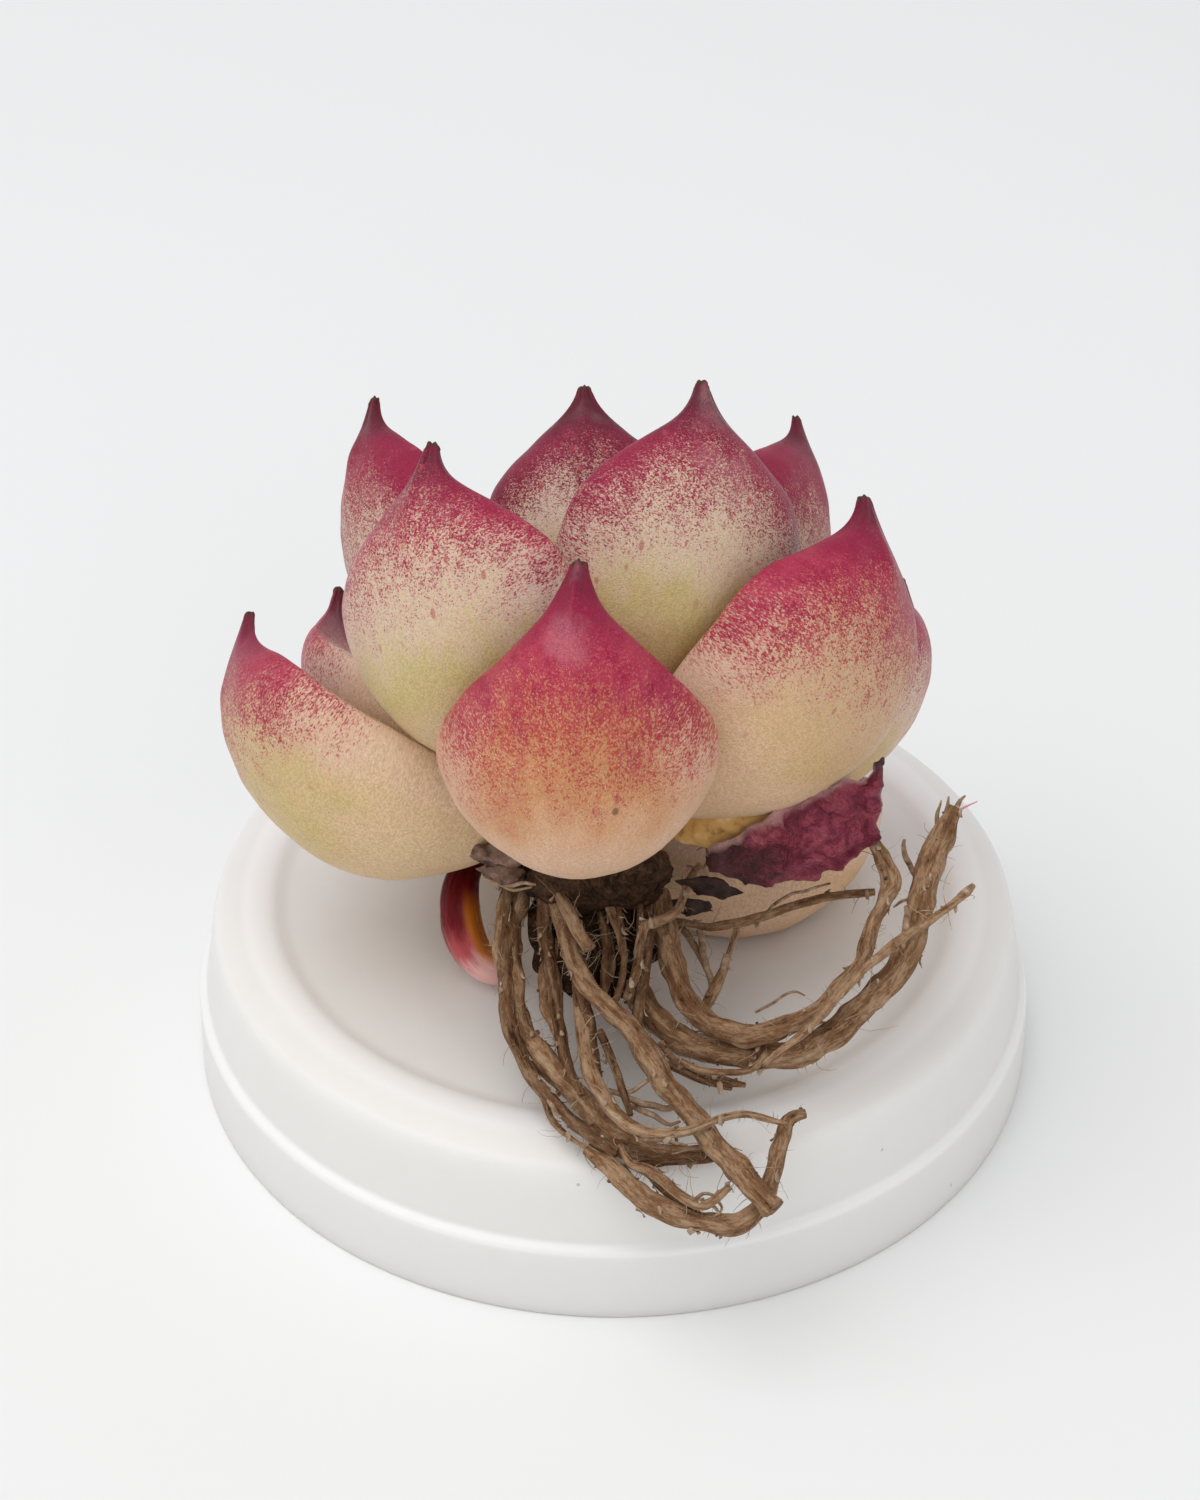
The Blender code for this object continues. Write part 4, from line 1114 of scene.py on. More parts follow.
def flecks_group():
    """Sparse small spots: the cells of a pattern whose own number is above the threshold."""
    found = bpy.data.node_groups.get("flecks")
    if found:
        return found
    inputs = (("Vector", VECTOR), ("Scale", NUMBER), ("Size", NUMBER), ("Share", NUMBER))
    group, given, out = new_group("flecks", inputs, (("Mask", NUMBER),))
    cells = group.nodes.new("ShaderNodeTexVoronoi")
    group.links.new(given.outputs["Vector"], cells.inputs["Vector"])
    group.links.new(given.outputs["Scale"], cells.inputs["Scale"])
    number = group.nodes.new("ShaderNodeSeparateColor")
    group.links.new(cells.outputs["Color"], number.inputs[0])
    chosen = maths(group, "LESS_THAN", number.outputs[0], given.outputs["Share"])
    size = times(group, given.outputs["Size"], number.outputs[1])
    near = maths(group, "DIVIDE", cells.outputs["Distance"], plus(group, size, 0.001))
    spot = stepped(group, near, 1.0, 0.6)
    group.links.new(times(group, chosen, spot), out.inputs["Mask"])
    return group


def cells_group():
    """The fine grain of a leaf's skin: a height, and a mask of pale cells that are partly pale grains of wax and
    partly painted glints of light.
    """
    found = bpy.data.node_groups.get("skin cells")
    if found:
        return found
    inputs = (("Vector", VECTOR), ("Scale", NUMBER))
    outputs = tuple((name, NUMBER) for name in ("Height", "Bright", "Grain", "Number"))
    group, given, out = new_group("skin cells", inputs, outputs)
    cells = group.nodes.new("ShaderNodeTexVoronoi")
    group.links.new(given.outputs["Vector"], cells.inputs["Vector"])
    group.links.new(given.outputs["Scale"], cells.inputs["Scale"])
    numbers = node(group, "ShaderNodeSeparateColor", {0: cells.outputs["Color"]})
    grain = noise_node(group, given.outputs["Vector"], given.outputs["Scale"], 3.0, 0.7)
    height = plus(group, times(group, cells.outputs["Distance"], -0.9), grain)
    group.links.new(height, out.inputs["Height"])
    # Pale cells: partly pale grains of wax, partly painted glints.
    middle = stepped(group, cells.outputs["Distance"], 0.55, 0.20)
    lit = times(group, stepped(group, numbers.outputs[1], 0.62, 0.82), middle)
    group.links.new(maths(group, "MAXIMUM", lit, stepped(group, grain, 0.60, 0.76)), out.inputs["Bright"])
    group.links.new(grain, out.inputs["Grain"])
    group.links.new(numbers.outputs[0], out.inputs["Number"])
    return group


def fibres_group():
    """Lengthwise fibres: a mask from hollow to ridge, and a height."""
    found = bpy.data.node_groups.get("fibres")
    if found:
        return found
    inputs = (("Vector", VECTOR), ("Across", NUMBER), ("Along", NUMBER))
    group, given, out = new_group("fibres", inputs, (("Mask", NUMBER), ("Height", NUMBER)))
    scale = group.nodes.new("ShaderNodeCombineXYZ")
    for axis, source in zip("XYZ", ("Across", "Across", "Along")):
        group.links.new(given.outputs[source], scale.inputs[axis])
    drawn = stretched(group, given.outputs["Vector"], scale.outputs[0])
    coarse = noise_node(group, drawn, 1.0, 5.0, 0.62)
    fine = noise_node(group, drawn, 3.7, 3.0, 0.6)
    both = plus(group, times(group, coarse, 0.62), times(group, fine, 0.38))
    group.links.new(both, out.inputs["Mask"])
    group.links.new(plus(group, both, times(group, fine, 0.5)), out.inputs["Height"])
    return group


# ---------------------------------------------------------------- materials


def leaf_material(settings):
    """Waxy flesh that runs from green or peach through a pale zone and red grains to a crimson tip."""
    look, tree, shader = new_material("leaf skin")
    place = attribute(tree, "leaf_place", "Vector")
    along, side = attribute(tree, "along"), attribute(tree, "side")
    cells = placed_group(tree, cells_group(), {"Vector": place, "Scale": 9.5})
    number, glints_and_pale_grains, grain = (cells.outputs[name] for name in ("Number", "Bright", "Grain"))
    clouds = noise_node(tree, place, 0.20, 3.0)
    streaks = noise_node(tree, stretched(tree, place, (0.9, 0.22, 0.9)), 1.0, 5.0, 0.68)
    blotches = noise_node(tree, place, 0.75, 4.0, 0.65)
    # How far into the red a place is: further towards the tip and near the margins.
    edge = maths(tree, "POWER", maths(tree, "ABSOLUTE", side), 3.0)
    into = minus(tree, along, attribute(tree, "red_start"))
    into = weighed(tree, into, (edge, attribute(tree, "red_margin")), (around(tree, streaks), 0.26))
    into = weighed(tree, into, (around(tree, clouds), 0.16), (around(tree, blotches), 0.16))
    grained = weighed(tree, into, (around(tree, number), 0.26), (around(tree, grain), 0.46))
    redness = stepped(tree, grained, -0.13, 0.13)
    # Flesh below the red: greenish in the middle, pink and waxy along the sides and at the base; the paler sides are
    # partly a painted sheen.
    halfway = weighed(tree, along, (around(tree, clouds), 0.35))
    green = mixed(tree, stepped(tree, halfway, 0.36, 0.70), tuple(settings.flesh_green), tuple(settings.flesh_cream))
    mottled = times(tree, around(tree, blotches), 0.4)
    own_peach = maths(tree, "ADD", attribute(tree, "peach"), mottled, clamp=True)
    flesh = mixed(tree, own_peach, green, tuple(settings.flesh_peach))
    flank = maths(tree, "POWER", maths(tree, "ABSOLUTE", side), 2.2)
    flank = weighed(tree, flank, (around(tree, clouds), 0.5))
    low = times(tree, stepped(tree, halfway, 0.54, 0.30), plus(tree, times(tree, own_peach, 0.3), 0.7))
    pinkish = maths(tree, "MAXIMUM", stepped(tree, flank, 0.25, 0.85), low)
    flesh = washed(tree, flesh, pinkish, 0.75, settings.flesh_pink)
    # The pale zone under the red and on the flanks: partly pale wax, partly a painted sheen.
    zone = stepped(tree, into, -0.26, -0.06)
    zone = maths(tree, "MAXIMUM", zone, times(tree, stepped(tree, flank, 0.55, 1.0), 0.6))
    zone = times(tree, zone, attribute(tree, "pale_and_sheen_zone"))
    zone = times(tree, zone, stepped(tree, plus(tree, grain, times(tree, number, 0.12)), 0.30, 0.62))
    flesh = mixed(tree, zone, flesh, tuple(settings.pale))
    dim = stepped(tree, number, 0.0, 1.0, 0.84, 1.10)
    flesh = mixed(tree, 1.0, flesh, grey(tree, dim), "MULTIPLY")
    # Painted glints: the pale cells lighten the flesh, partly as pale grains of wax.
    flesh = washed(tree, flesh, glints_and_pale_grains, 0.40, (0.87, 0.74, 0.60))
    # The red itself, darker towards the tip, with pale grains of wax and painted glints on it, and pale patches near
    # its middle that are wax and a painted sheen.
    dark = plus(tree, stepped(tree, along, 0.76, 0.98), times(tree, attribute(tree, "dark_red"), 0.60))
    dark = weighed(tree, dark, (around(tree, blotches), 0.8))
    dark = weighed(tree, dark, (around(tree, number), 0.25))
    red = ramp(tree, times(tree, dark, 0.62), (
        (0.0, tuple(settings.rose)), (0.30, tuple(settings.raspberry)), (0.95, tuple(settings.crimson)),
    ))
    orange = times(tree, own_peach, stepped(tree, into, 0.20, -0.02, 0.0, 0.60))
    red = mixed(tree, orange, red, (0.50, 0.085, 0.035, 1.0))
    # Painted glints on the red from the pale cells, partly pale grains of wax.
    fading = stepped(tree, into, 0.40, 0.02, 0.08, 0.46)
    red = mixed(tree, times(tree, glints_and_pale_grains, fading), red, (0.68, 0.24, 0.31, 1.0))
    # Pale patches on the red near the leaf's middle: partly pale wax, partly a painted sheen.
    bloom_and_sheen = times(tree, stepped(tree, clouds, 0.50, 0.68), stepped(tree, maths(tree, "ABSOLUTE", side), 0.8, 0.2))
    bloom_and_sheen = times(tree, bloom_and_sheen, stepped(tree, grain, 0.35, 0.60, 0.04, 0.20))
    red = mixed(tree, bloom_and_sheen, red, (0.78, 0.50, 0.52, 1.0))
    skin = mixed(tree, redness, flesh, red)
    # Small red dashes in the flesh under the red, and a few brown scars.
    drawn = stretched(tree, place, (1.5, 0.75, 1.0))
    dashes = placed_group(tree, flecks_group(), {"Vector": drawn, "Scale": 0.85, "Size": 0.34, "Share": 0.30})
    reach = stepped(tree, into, -0.36, -0.04)
    skin = mixed(tree, times(tree, times(tree, dashes.outputs[0], reach), 0.65), skin, (0.42, 0.05, 0.07, 1.0))
    scars = placed_group(tree, flecks_group(), {"Vector": place, "Scale": 0.34, "Size": 0.10, "Share": 0.14})
    skin = washed(tree, skin, scars.outputs[0], 0.75, (0.16, 0.07, 0.03))
    tip = stepped(tree, weighed(tree, along, (around(tree, grain), 0.03)), 0.978, 0.992)
    skin = mixed(tree, tip, skin, (0.075, 0.032, 0.022, 1.0))
    connect(tree, skin, shader.inputs["Base Color"])
    rough = plus(tree, times(tree, grain, 0.30), 0.24)
    rough = plus(tree, rough, times(tree, tip, 0.35))
    connect(tree, rough, shader.inputs["Roughness"])
    set_values(shader, {
        "Subsurface Weight": 0.10, "Subsurface Radius": (1.0, 0.42, 0.22), "Subsurface Scale": 0.0022,
        "Coat Roughness": 0.24, "Specular IOR Level": 0.20,
    })
    gloss = stepped(tree, weighed(tree, along, (around(tree, streaks), 0.3)), 0.72, 0.95, 0.03, 0.15)
    connect(tree, gloss, shader.inputs["Coat Weight"])
    heights = plus(tree, cells.outputs["Height"], times(tree, streaks, 0.8))
    add_bump(tree, shader, heights, 0.55, 0.00007)
    return look


def bark_material(settings, name="root bark", pale=0.0, light=1.0):
    """Dry, fibrous bark: dark hollows, tan ridges and pale flaking; light dims all of it and pale below 0 darkens it,
    which paints shade on pieces under the leaves.
    """
    look, tree, shader = new_material(name)
    place = attribute(tree, "bark_place", "Vector")
    fibres = placed_group(tree, fibres_group(), {"Vector": place, "Across": 3.6, "Along": 0.8})
    ridge = times(tree, attribute(tree, "bark_ridge"), 0.13)
    patches = noise_node(tree, place, 0.55, 3.0, 0.6)
    tone = plus(tree, fibres.outputs["Mask"], ridge)
    tone = plus(tree, tone, times(tree, minus(tree, patches, 0.5 - pale), 0.34))
    tones = (tuple(settings.bark_dark), tuple(settings.bark_mid), tuple(settings.bark_light), (0.58, 0.45, 0.32))
    tones = [tuple(light * value for value in shade) for shade in tones]
    shade = ramp(tree, tone, tuple(zip((0.27, 0.43, 0.60, 0.78), tones)))
    warm = noise_node(tree, place, 1.7, 2.0)
    shade = mixed(tree, times(tree, stepped(tree, warm, 0.52, 0.72), 0.45), shade, (0.22, 0.085, 0.045, 1.0))
    connect(tree, shade, shader.inputs["Base Color"])
    connect(tree, weighed(tree, 0.62, (fibres.outputs["Mask"], 0.25)), shader.inputs["Roughness"])
    shader.inputs["Specular IOR Level"].default_value = 0.15
    add_bump(tree, shader, fibres.outputs["Height"], 1.0, 0.00022)
    return look


def speck_material(name, stops, scale, roughness=0.8, height=0.00008):
    """A small piece whose colour varies from spot to spot."""
    look, tree, shader = new_material(name)
    place = millimetres(tree)
    tone = noise_node(tree, place, scale, 4.0, 0.62)
    connect(tree, ramp(tree, tone, stops), shader.inputs["Base Color"])
    connect(tree, weighed(tree, roughness - 0.1, (tone, 0.2)), shader.inputs["Roughness"])
    shader.inputs["Specular IOR Level"].default_value = 0.3
    add_bump(tree, shader, tone, 0.6, height)
    return look


def dried_leaf_material():
    """Shrivelled purple-maroon skin, pale pink along its upper edge and nearly black at its tip."""
    look, tree, shader = new_material("dried leaf skin")
    place = attribute(tree, "leaf_place", "Vector")
    along, side = attribute(tree, "along"), attribute(tree, "side")
    fibres = placed_group(tree, fibres_group(), {"Vector": place, "Across": 1.5, "Along": 1.1})
    patches = noise_node(tree, place, 0.5, 4.0, 0.65)
    tone = plus(tree, times(tree, fibres.outputs["Mask"], 0.6), times(tree, patches, 0.4))
    shade = ramp(tree, tone, (
        (0.32, (0.045, 0.006, 0.010)), (0.44, (0.19, 0.012, 0.036)),
        (0.56, (0.36, 0.050, 0.085)), (0.72, (0.62, 0.28, 0.28)),
    ))
    edge = stepped(tree, side, -0.70, -0.97)
    near_base = stepped(tree, weighed(tree, along, (around(tree, patches), 0.5)), 0.42, 0.12)
    shade = washed(tree, shade, near_base, 0.85, (0.035, 0.014, 0.011))
    shade = washed(tree, shade, edge, 0.75, (0.66, 0.36, 0.33))
    dark = stepped(tree, plus(tree, along, times(tree, minus(tree, patches, 0.5), 0.25)), 0.86, 0.97)
    shade = washed(tree, shade, dark, 0.85, (0.05, 0.015, 0.018))
    connect(tree, shade, shader.inputs["Base Color"])
    connect(tree, weighed(tree, 0.32, (patches, 0.25)), shader.inputs["Roughness"])
    add_bump(tree, shader, fibres.outputs["Height"], 1.0, 0.00045)
    return look


def hook_material():
    """A shrunken, translucent leaf: crimson above, glossy pink at its bend and orange inside the bend."""
    look, tree, shader = new_material("hooked leaf skin")
    place = attribute(tree, "bark_place", "Vector")
    reach, inner = attribute(tree, "reach"), attribute(tree, "inner")
    fibres = placed_group(tree, fibres_group(), {"Vector": place, "Across": 1.6, "Along": 0.30})
    tone = plus(tree, reach, times(tree, minus(tree, fibres.outputs["Mask"], 0.5), 0.30))
    shade = ramp(tree, tone, (
        (0.10, (0.055, 0.002, 0.003)), (0.50, (0.17, 0.004, 0.009)),
        (0.68, (0.48, 0.07, 0.08)), (0.84, (0.86, 0.47, 0.44)),
    ))
    orange = times(tree, stepped(tree, inner, 0.42, 0.74), stepped(tree, reach, 0.26, 0.50))
    shade = washed(tree, shade, orange, 0.92, (0.52, 0.16, 0.012))
    connect(tree, shade, shader.inputs["Base Color"])
    connect(tree, weighed(tree, 0.12, (fibres.outputs["Mask"], 0.3)), shader.inputs["Roughness"])
    set_values(shader, {
        "Subsurface Weight": 0.15, "Subsurface Radius": (1.0, 0.3, 0.15), "Subsurface Scale": 0.002,
        "Coat Roughness": 0.14, "Specular IOR Level": 0.14,
    })
    connect(tree, stepped(tree, reach, 0.45, 0.80, 0.0, 0.45), shader.inputs["Coat Weight"])
    add_bump(tree, shader, fibres.outputs["Height"], 0.35, 0.00016)
    return look


def lid_material(settings):
    """Frosted plastic: a soft even white, brighter on its edges with painted highlights, a little darker below the
    step with painted shade, with dust.
    """
    look, tree, shader = new_material("frosted plastic")
    place = millimetres(tree)
    parts = node(tree, "ShaderNodeSeparateXYZ", {0: place})
    back = minus(tree, parts.outputs[1], LID_BACK)
    squares = plus(tree, times(tree, parts.outputs[0], parts.outputs[0]), times(tree, back, back))
    radius = maths(tree, "SQRT", squares)
    height = parts.outputs[2]
    frost = noise_node(tree, place, 0.35, 4.0, 0.6)
    grain = noise_node(tree, place, 5.0, 2.0, 0.6)
    tone = mixed(tree, times(tree, frost, 0.5), tuple(settings.frost), (0.80, 0.775, 0.745, 1.0))
    # Rings painted brighter from the panel out, partly for the plastic's thickness and partly as painted highlights
    # where its edges catch the light.
    ring = times(tree, stepped(tree, radius, 27.2, 28.2), stepped(tree, radius, 31.2, 30.2))
    tone = washed(tree, tone, ring, 0.75, settings.rim)
    # The bead at the step painted brighter: a painted highlight line.
    step = times(tree, stepped(tree, height, 6.2, 6.5), stepped(tree, height, 7.3, 6.9))
    tone = washed(tree, tone, step, 0.8, settings.rim)
    # Painted shade on the lower wall, near the table.
    lower = stepped(tree, height, 6.3, 5.9)
    tone = washed(tree, tone, lower, 0.25, (0.78, 0.775, 0.765))
    dust = placed_group(tree, flecks_group(), {"Vector": place, "Scale": 0.30, "Size": 0.07, "Share": 0.22})
    tone = washed(tree, tone, dust.outputs[0], 0.5, (0.32, 0.24, 0.18))
    connect(tree, tone, shader.inputs["Base Color"])
    connect(tree, weighed(tree, 0.34, (grain, 0.16)), shader.inputs["Roughness"])
    set_values(shader, {
        "Subsurface Weight": 0.5, "Subsurface Radius": (1.0, 1.0, 1.0), "Subsurface Scale": 0.004,
        "Specular IOR Level": 0.35,
    })
    add_bump(tree, shader, plus(tree, grain, frost), 0.12, 0.00005)
    return look


# ---------------------------------------------------------------- operators


class SUCCULENT_OT_leaves(bpy.types.Operator):
    """Build the living leaves, oldest first"""

    bl_idname = "succulent.leaves"
    bl_label = "Leaves"

    def execute(self, context):
        settings = context.scene.succulent_leaves
        look = leaf_material(settings)
        for index in range(LEAF_COUNT):
            piece = build_leaf(index, settings)
            finish_piece(piece, look, "leaf", f"leaf_{index + 1:02d}")
        return {"FINISHED"}


class SUCCULENT_OT_dried_leaves(bpy.types.Operator):
    """Build the shrivelled leaves and scraps under the rosette"""

    bl_idname = "succulent.dried_leaves"
    bl_label = "Dried leaves"

    def execute(self, context):
        piece = build_dried_leaf("visual_dried_leaf", DRIED_LEAF)
        finish_piece(piece, dried_leaf_material(), "dried_leaf", "dried_leaf_right")
        scrap = speck_material("dried scrap", SPECK_TONES["black"], 1.2)
        old_base = speck_material("old leaf base", SPECK_TONES["brown"], 0.9)
        strip = build_dried_leaf("visual_base_strip", BASE_STRIP, 24, 32, 0.5)
        finish_piece(strip, speck_material("torn leaf base", SPECK_TONES["straw"], 0.7, 0.5), "dried_leaf")
        tissue = build_dried_leaf("visual_dry_tissue", DRY_TISSUE, 24, 28, 0.9)
        finish_piece(tissue, old_base, "dried_scrap")
        for name, form in DRIED_SCRAPS.items():
            piece = build_dried_leaf("visual_" + name, form, 24, 24, 0.8)
            finish_piece(piece, old_base if name == "old_leaf_base" else scrap, "dried_scrap", name)
        return {"FINISHED"}


class SUCCULENT_OT_hook(bpy.types.Operator):
    """Build the shrivelled red leaf that hooks down to the lid"""

    bl_idname = "succulent.hook"
    bl_label = "Hooked leaf"

    def execute(self, context):
        line, reach = smooth_row(HOOK, 0.2)
        centres = line[:, :3]
        piece, ring, cosine, sine = ball("visual_hooked_leaf", 28, len(line) + 1)
        at = np.clip(ring.astype(int) - 1, 0, len(line) - 1)
        first, second = cross_axes(centres)
        across = first[at] * cosine[:, None] + second[at] * sine[:, None]
        folds = noise_at(np.stack((cosine * 1.8, sine * 1.8, reach[at] * 0.18), axis=1), 1.0, 4.2)
        off_axis = np.where((ring == 0) | (ring == len(line) + 1), 0.0, 1.0)
        radius = line[at, 3] * (1.0 + 0.22 * folds) * off_axis
        mark(piece, "bark_place", np.stack((cosine * 1.4, sine * 1.4, reach[at]), axis=1))
        mark(piece, "reach", reach[at] / reach[-1])
        mark(piece, "inner", across @ np.array(HOOK_INSIDE))
        from_lid = Matrix.Scale(MM, 4) @ Matrix.Translation((0.0, LID_BACK, 0.0))
        spots = moved(centres[at] + across * radius[:, None], from_lid)
        set_positions(piece, press_on_lid(spots))
        turn_outwards(piece)
        smooth_faces(piece)
        finish_piece(piece, hook_material(), "shrivelled_leaf", "dried_leaf_hook")
        return {"FINISHED"}


class SUCCULENT_OT_crown(bpy.types.Operator):
    """Build the knobbly crown that the leaves and roots grow from"""

    bl_idname = "succulent.crown"
    bl_label = "Crown"

    def execute(self, context):
        rings = 72
        piece, ring, cosine, sine = ball("visual_crown", 56, rings)
        profile = np.array(CROWN_PROFILE)
        place = np.clip((ring - 1) / (rings - 2), 0, 1) ** 1.3 * (len(profile) - 1)
        height = np.interp(place, range(len(profile)), profile[:, 0])
        radius = np.interp(place, range(len(profile)), profile[:, 1])
        angle = np.arctan2(sine, cosine)
        knobs = 1.0 + 0.10 * np.sin(3 * angle + height) + 0.06 * np.sin(5 * angle - 2 * height)
        radius = radius * np.where(height > 0.5, 1.0, knobs) * np.where((ring == 0) | (ring == rings), 0.0, 1.0)
        spots = np.stack((cosine * radius * CROWN_WIDTH, sine * radius * CROWN_DEPTH, height), axis=1)
        lumps = noise_at(spots, 0.55, 8.0) * 0.45 + noise_at(spots, 1.4, 2.0) * 0.28
        lumps = lumps + noise_at(spots, 3.2, 5.0) * 0.10
        outwards = spots / np.maximum(np.linalg.norm(spots, axis=1), 0.01)[:, None]
        spots = spots + outwards * lumps[:, None]
        mark(piece, "bark_place", spots)
        mark(piece, "bark_ridge", lumps)
        set_positions(piece, moved(spots, plant_frame()))
        turn_outwards(piece)
        smooth_faces(piece)
        # The crown's bark is darkened and dimmed as painted shade under the leaves, over its own dark colour.
        look = bark_material(context.scene.succulent_roots, "crown bark with painted shade", -0.40, 0.34)
        finish_piece(piece, look, "crown", "crown_and_stem")
        return {"FINISHED"}


class SUCCULENT_OT_roots(bpy.types.Operator):
    """Build the roots, their rootlets, hairs, loose flakes and crumbs of soil"""

    bl_idname = "succulent.roots"
    bl_label = "Roots"

    def execute(self, context):
        settings = context.scene.succulent_roots
        look = bark_material(settings)
        pale = bark_material(settings, "pale root bark", 0.14)
        built = []
        for seed, (name, row) in enumerate(ROOTS.items()):
            piece = build_root("visual_" + name, row, settings, seed + 1)
            fine = name in ("root_fine_pale", "root_twig", "root_centre_bent", "root_front_stub")
            finish_piece(piece, pale if fine else look, "root", name)
            built.append(piece)
        bundle = []
        for seed, row in enumerate(BUNDLE_ROOTS):
            bundle.append(build_root(f"bundle_root_{seed}", row, settings, seed + 51))
        bundle = join_pieces(bundle, "visual_root_bundle")
        # The bundle's inner roots are dimmed and darkened as painted shade among the outer roots.
        finish_piece(bundle, bark_material(settings, "inner root bark with painted shade", -0.16, 0.72), "root")
        built.append(bundle)
        # A dark lump, partly old fibres and soil and partly painted shade, dimmed far down in the gaps between the
        # roots.
        finish_piece(build_fibre_and_shade_mass(), bark_material(settings, "old fibre bark with painted shade", -0.48, 0.28), "root")
        rng = random.Random(41)
        rootlets = build_fibres("visual_rootlets", [strand_row(row, 0.12, 0.02) for row in ROOTLETS], 2)
        finish_piece(rootlets, speck_material("rootlet skin", SPECK_TONES["tan"], 1.6), "root")
        hairs = build_fibres("visual_root_hairs", hair_rows(built, settings.hairs, rng))
        finish_piece(hairs, speck_material("root hairs", SPECK_TONES["hair_tones"], 0.8), "root")
        flakes = build_flakes("visual_bark_flakes", built, settings.flakes, rng)
        finish_piece(flakes, speck_material("bark flakes", SPECK_TONES["hair_tones"], 1.1), "root")
        crumbs = build_crumbs("visual_soil_crumbs", built, settings.crumbs, rng)
        finish_piece(crumbs, speck_material("soil crumbs", SPECK_TONES["soil"], 2.0), "root")
        pink = build_fibres("visual_pink_fibre", [strand_row(PINK_FIBRE)], 2)
        finish_piece(pink, speck_material("pink fibre", SPECK_TONES["pinks"], 1.5, 0.5), "root")
        return {"FINISHED"}


def rounded_profile(corners, segments=6):
    """A section's corners as (radius, height), each rounded by its own amount."""
    points = []
    for place, (radius, height, amount) in enumerate(corners):
        here = Vector((radius, height))
        if amount <= 0 or place in (0, len(corners) - 1):
            points.append(here)
            continue
        before, after = (Vector(corners[other][:2]) for other in (place - 1, place + 1))
        first = here + (before - here).normalized() * min(amount, (before - here).length * 0.48)
        last = here + (after - here).normalized() * min(amount, (after - here).length * 0.48)
        for step in range(segments + 1):
            part = step / segments
            points.append((1 - part) ** 2 * first + 2 * part * (1 - part) * here + part**2 * last)
    return points


class SUCCULENT_OT_lid(bpy.types.Operator):
    """Turn the frosted lid from its rounded section"""

    bl_idname = "succulent.lid"
    bl_label = "Lid"

    def execute(self, context):
        settings = context.scene.succulent_lid
        profile = rounded_profile(LID_OUTSIDE + LID_INSIDE)
        mesh = bpy.data.meshes.new("visual_lid")
        edges = [(step, step + 1) for step in range(len(profile) - 1)]
        mesh.from_pydata([(point.x * MM, 0.0, point.y * MM) for point in profile], edges, [])
        piece = bpy.data.objects.new("visual_lid", mesh)
        context.scene.collection.objects.link(piece)
        make_active(piece)
        turned = piece.modifiers.new("turned", "SCREW")
        turned.steps = turned.render_steps = settings.steps
        turned.use_merge_vertices = True
        turned.merge_threshold = 0.00001
        bpy.ops.object.modifier_apply(modifier=turned.name)
        piece.data.transform(Matrix.Translation((0.0, LID_BACK * MM, 0.0)))
        turn_outwards(piece)
        smooth_faces(piece)
        finish_piece(piece, lid_material(settings), "lid", "frosted_lid")
        return {"FINISHED"}


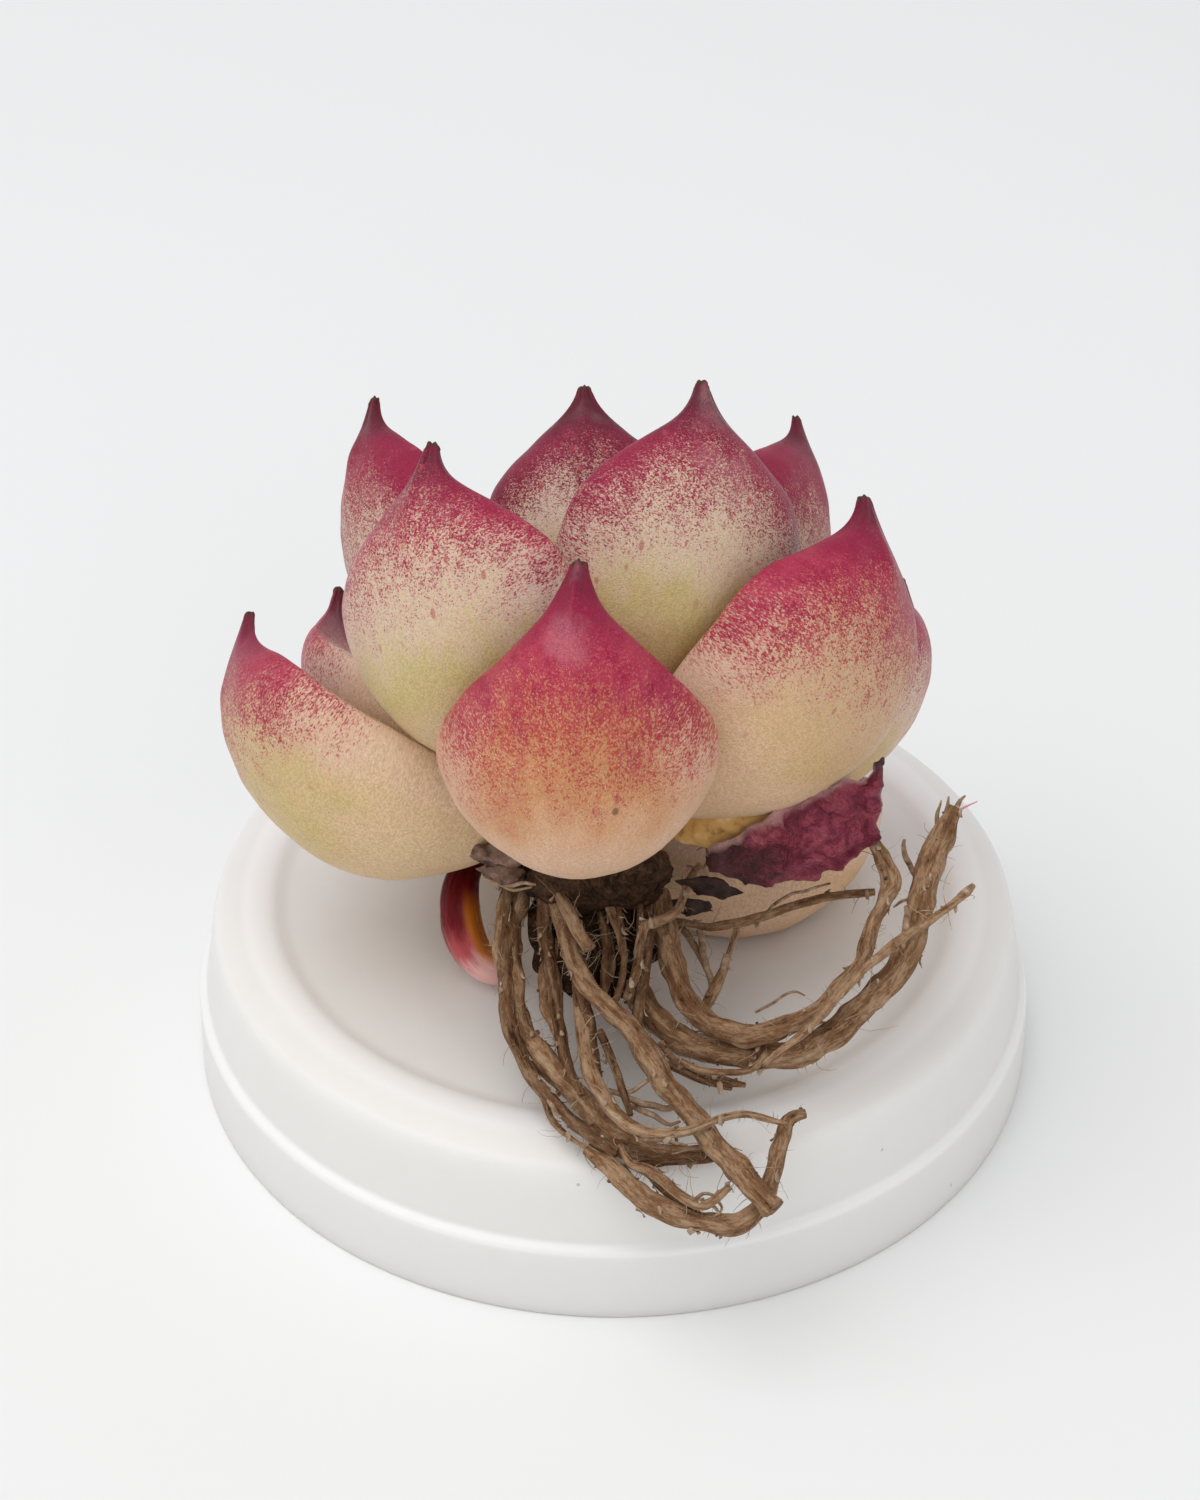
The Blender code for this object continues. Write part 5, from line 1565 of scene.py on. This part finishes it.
class SUCCULENT_OT_stage(bpy.types.Operator):
    """Set the pale table, the soft lamps and the camera"""

    bl_idname = "succulent.stage"
    bl_label = "Stage"

    def execute(self, context):
        settings = context.scene.succulent_stage
        deselect()
        bpy.ops.mesh.primitive_plane_add(size=8.0, location=(0.0, 0.0, 0.0))
        floor = context.object
        floor.name = "floor"
        look, tree, shader = new_material("pale table")
        clouds = noise_node(tree, node(tree, "ShaderNodeTexCoord").outputs["Object"], 14.0, 2.0)
        tone = mixed(tree, clouds, tuple(settings.floor), (0.865, 0.868, 0.865, 1.0))
        connect(tree, tone, shader.inputs["Base Color"])
        set_values(shader, {"Roughness": 0.7, "Specular IOR Level": 0.2})
        floor.data.materials.append(look)
        self.add_lamp("overhead softbox", *OVERHEAD_LAMP, settings.key)
        self.add_lamp("front softbox", *FRONT_LAMP, settings.fill)
        world = bpy.data.worlds.new("even light")
        context.scene.world = world
        world.use_nodes = True
        sky = world.node_tree.nodes["Background"]
        sky.inputs["Color"].default_value = (0.98, 0.99, 1.0, 1.0)
        sky.inputs["Strength"].default_value = settings.sky
        distance, height = settings.distance, settings.elevation
        right, up = (value * MM for value in CAMERA_AIM)
        spot = (right, LID_BACK * MM - distance * math.cos(height), up + distance * math.sin(height))
        facing = Vector((0.0, math.cos(height), -math.sin(height))).to_track_quat("-Z", "Y")
        bpy.ops.object.camera_add(location=spot, rotation=facing.to_euler())
        camera = context.object
        camera.data.sensor_fit = "HORIZONTAL"
        camera.data.sensor_width = SENSOR
        camera.data.lens = LENS
        camera.data.clip_start = 0.01
        context.scene.camera = camera
        context.scene.view_settings.view_transform = "Standard"
        return {"FINISHED"}

    def add_lamp(self, name, spot, size, power):
        """A square lamp that faces the plant."""
        facing = (LAMP_AIM - Vector(spot)).to_track_quat("-Z", "Y").to_euler()
        bpy.ops.object.light_add(type="AREA", location=spot, rotation=facing)
        lamp = bpy.context.object
        lamp.name = name
        lamp.data.size = size
        lamp.data.energy = power


class SUCCULENT_PT_panel(bpy.types.Panel):
    """The succulent's pieces"""

    bl_label = "Bare-root succulent"
    bl_idname = "SUCCULENT_PT_panel"
    bl_space_type = "VIEW_3D"
    bl_region_type = "UI"
    bl_category = "Succulent"

    def draw(self, context):
        layout = self.layout
        for settings in ("succulent_leaves", "succulent_roots", "succulent_lid", "succulent_stage"):
            group = getattr(context.scene, settings)
            box = layout.box()
            for name in group.__annotations__:
                box.prop(group, name)
        for operator in OPERATORS:
            layout.operator(operator.bl_idname)


OPERATORS = (
    SUCCULENT_OT_leaves,
    SUCCULENT_OT_dried_leaves,
    SUCCULENT_OT_hook,
    SUCCULENT_OT_crown,
    SUCCULENT_OT_roots,
    SUCCULENT_OT_lid,
    SUCCULENT_OT_stage,
)
SETTINGS = {
    "succulent_leaves": LeafSettings,
    "succulent_roots": RootSettings,
    "succulent_lid": LidSettings,
    "succulent_stage": StageSettings,
}


def register():
    for settings in SETTINGS.values():
        bpy.utils.register_class(settings)
    for operator in OPERATORS:
        bpy.utils.register_class(operator)
    bpy.utils.register_class(SUCCULENT_PT_panel)
    for name, settings in SETTINGS.items():
        setattr(bpy.types.Scene, name, PointerProperty(type=settings))


def unregister():
    for name in SETTINGS:
        delattr(bpy.types.Scene, name)
    bpy.utils.unregister_class(SUCCULENT_PT_panel)
    for operator in OPERATORS:
        bpy.utils.unregister_class(operator)
    for settings in SETTINGS.values():
        bpy.utils.unregister_class(settings)


def main():
    register()
    for name in ("leaves", "dried_leaves", "hook", "crown", "roots", "lid", "stage"):
        getattr(bpy.ops.succulent, name)()
    bpy.context.view_layer.update()


if __name__ == "__main__":
    main()
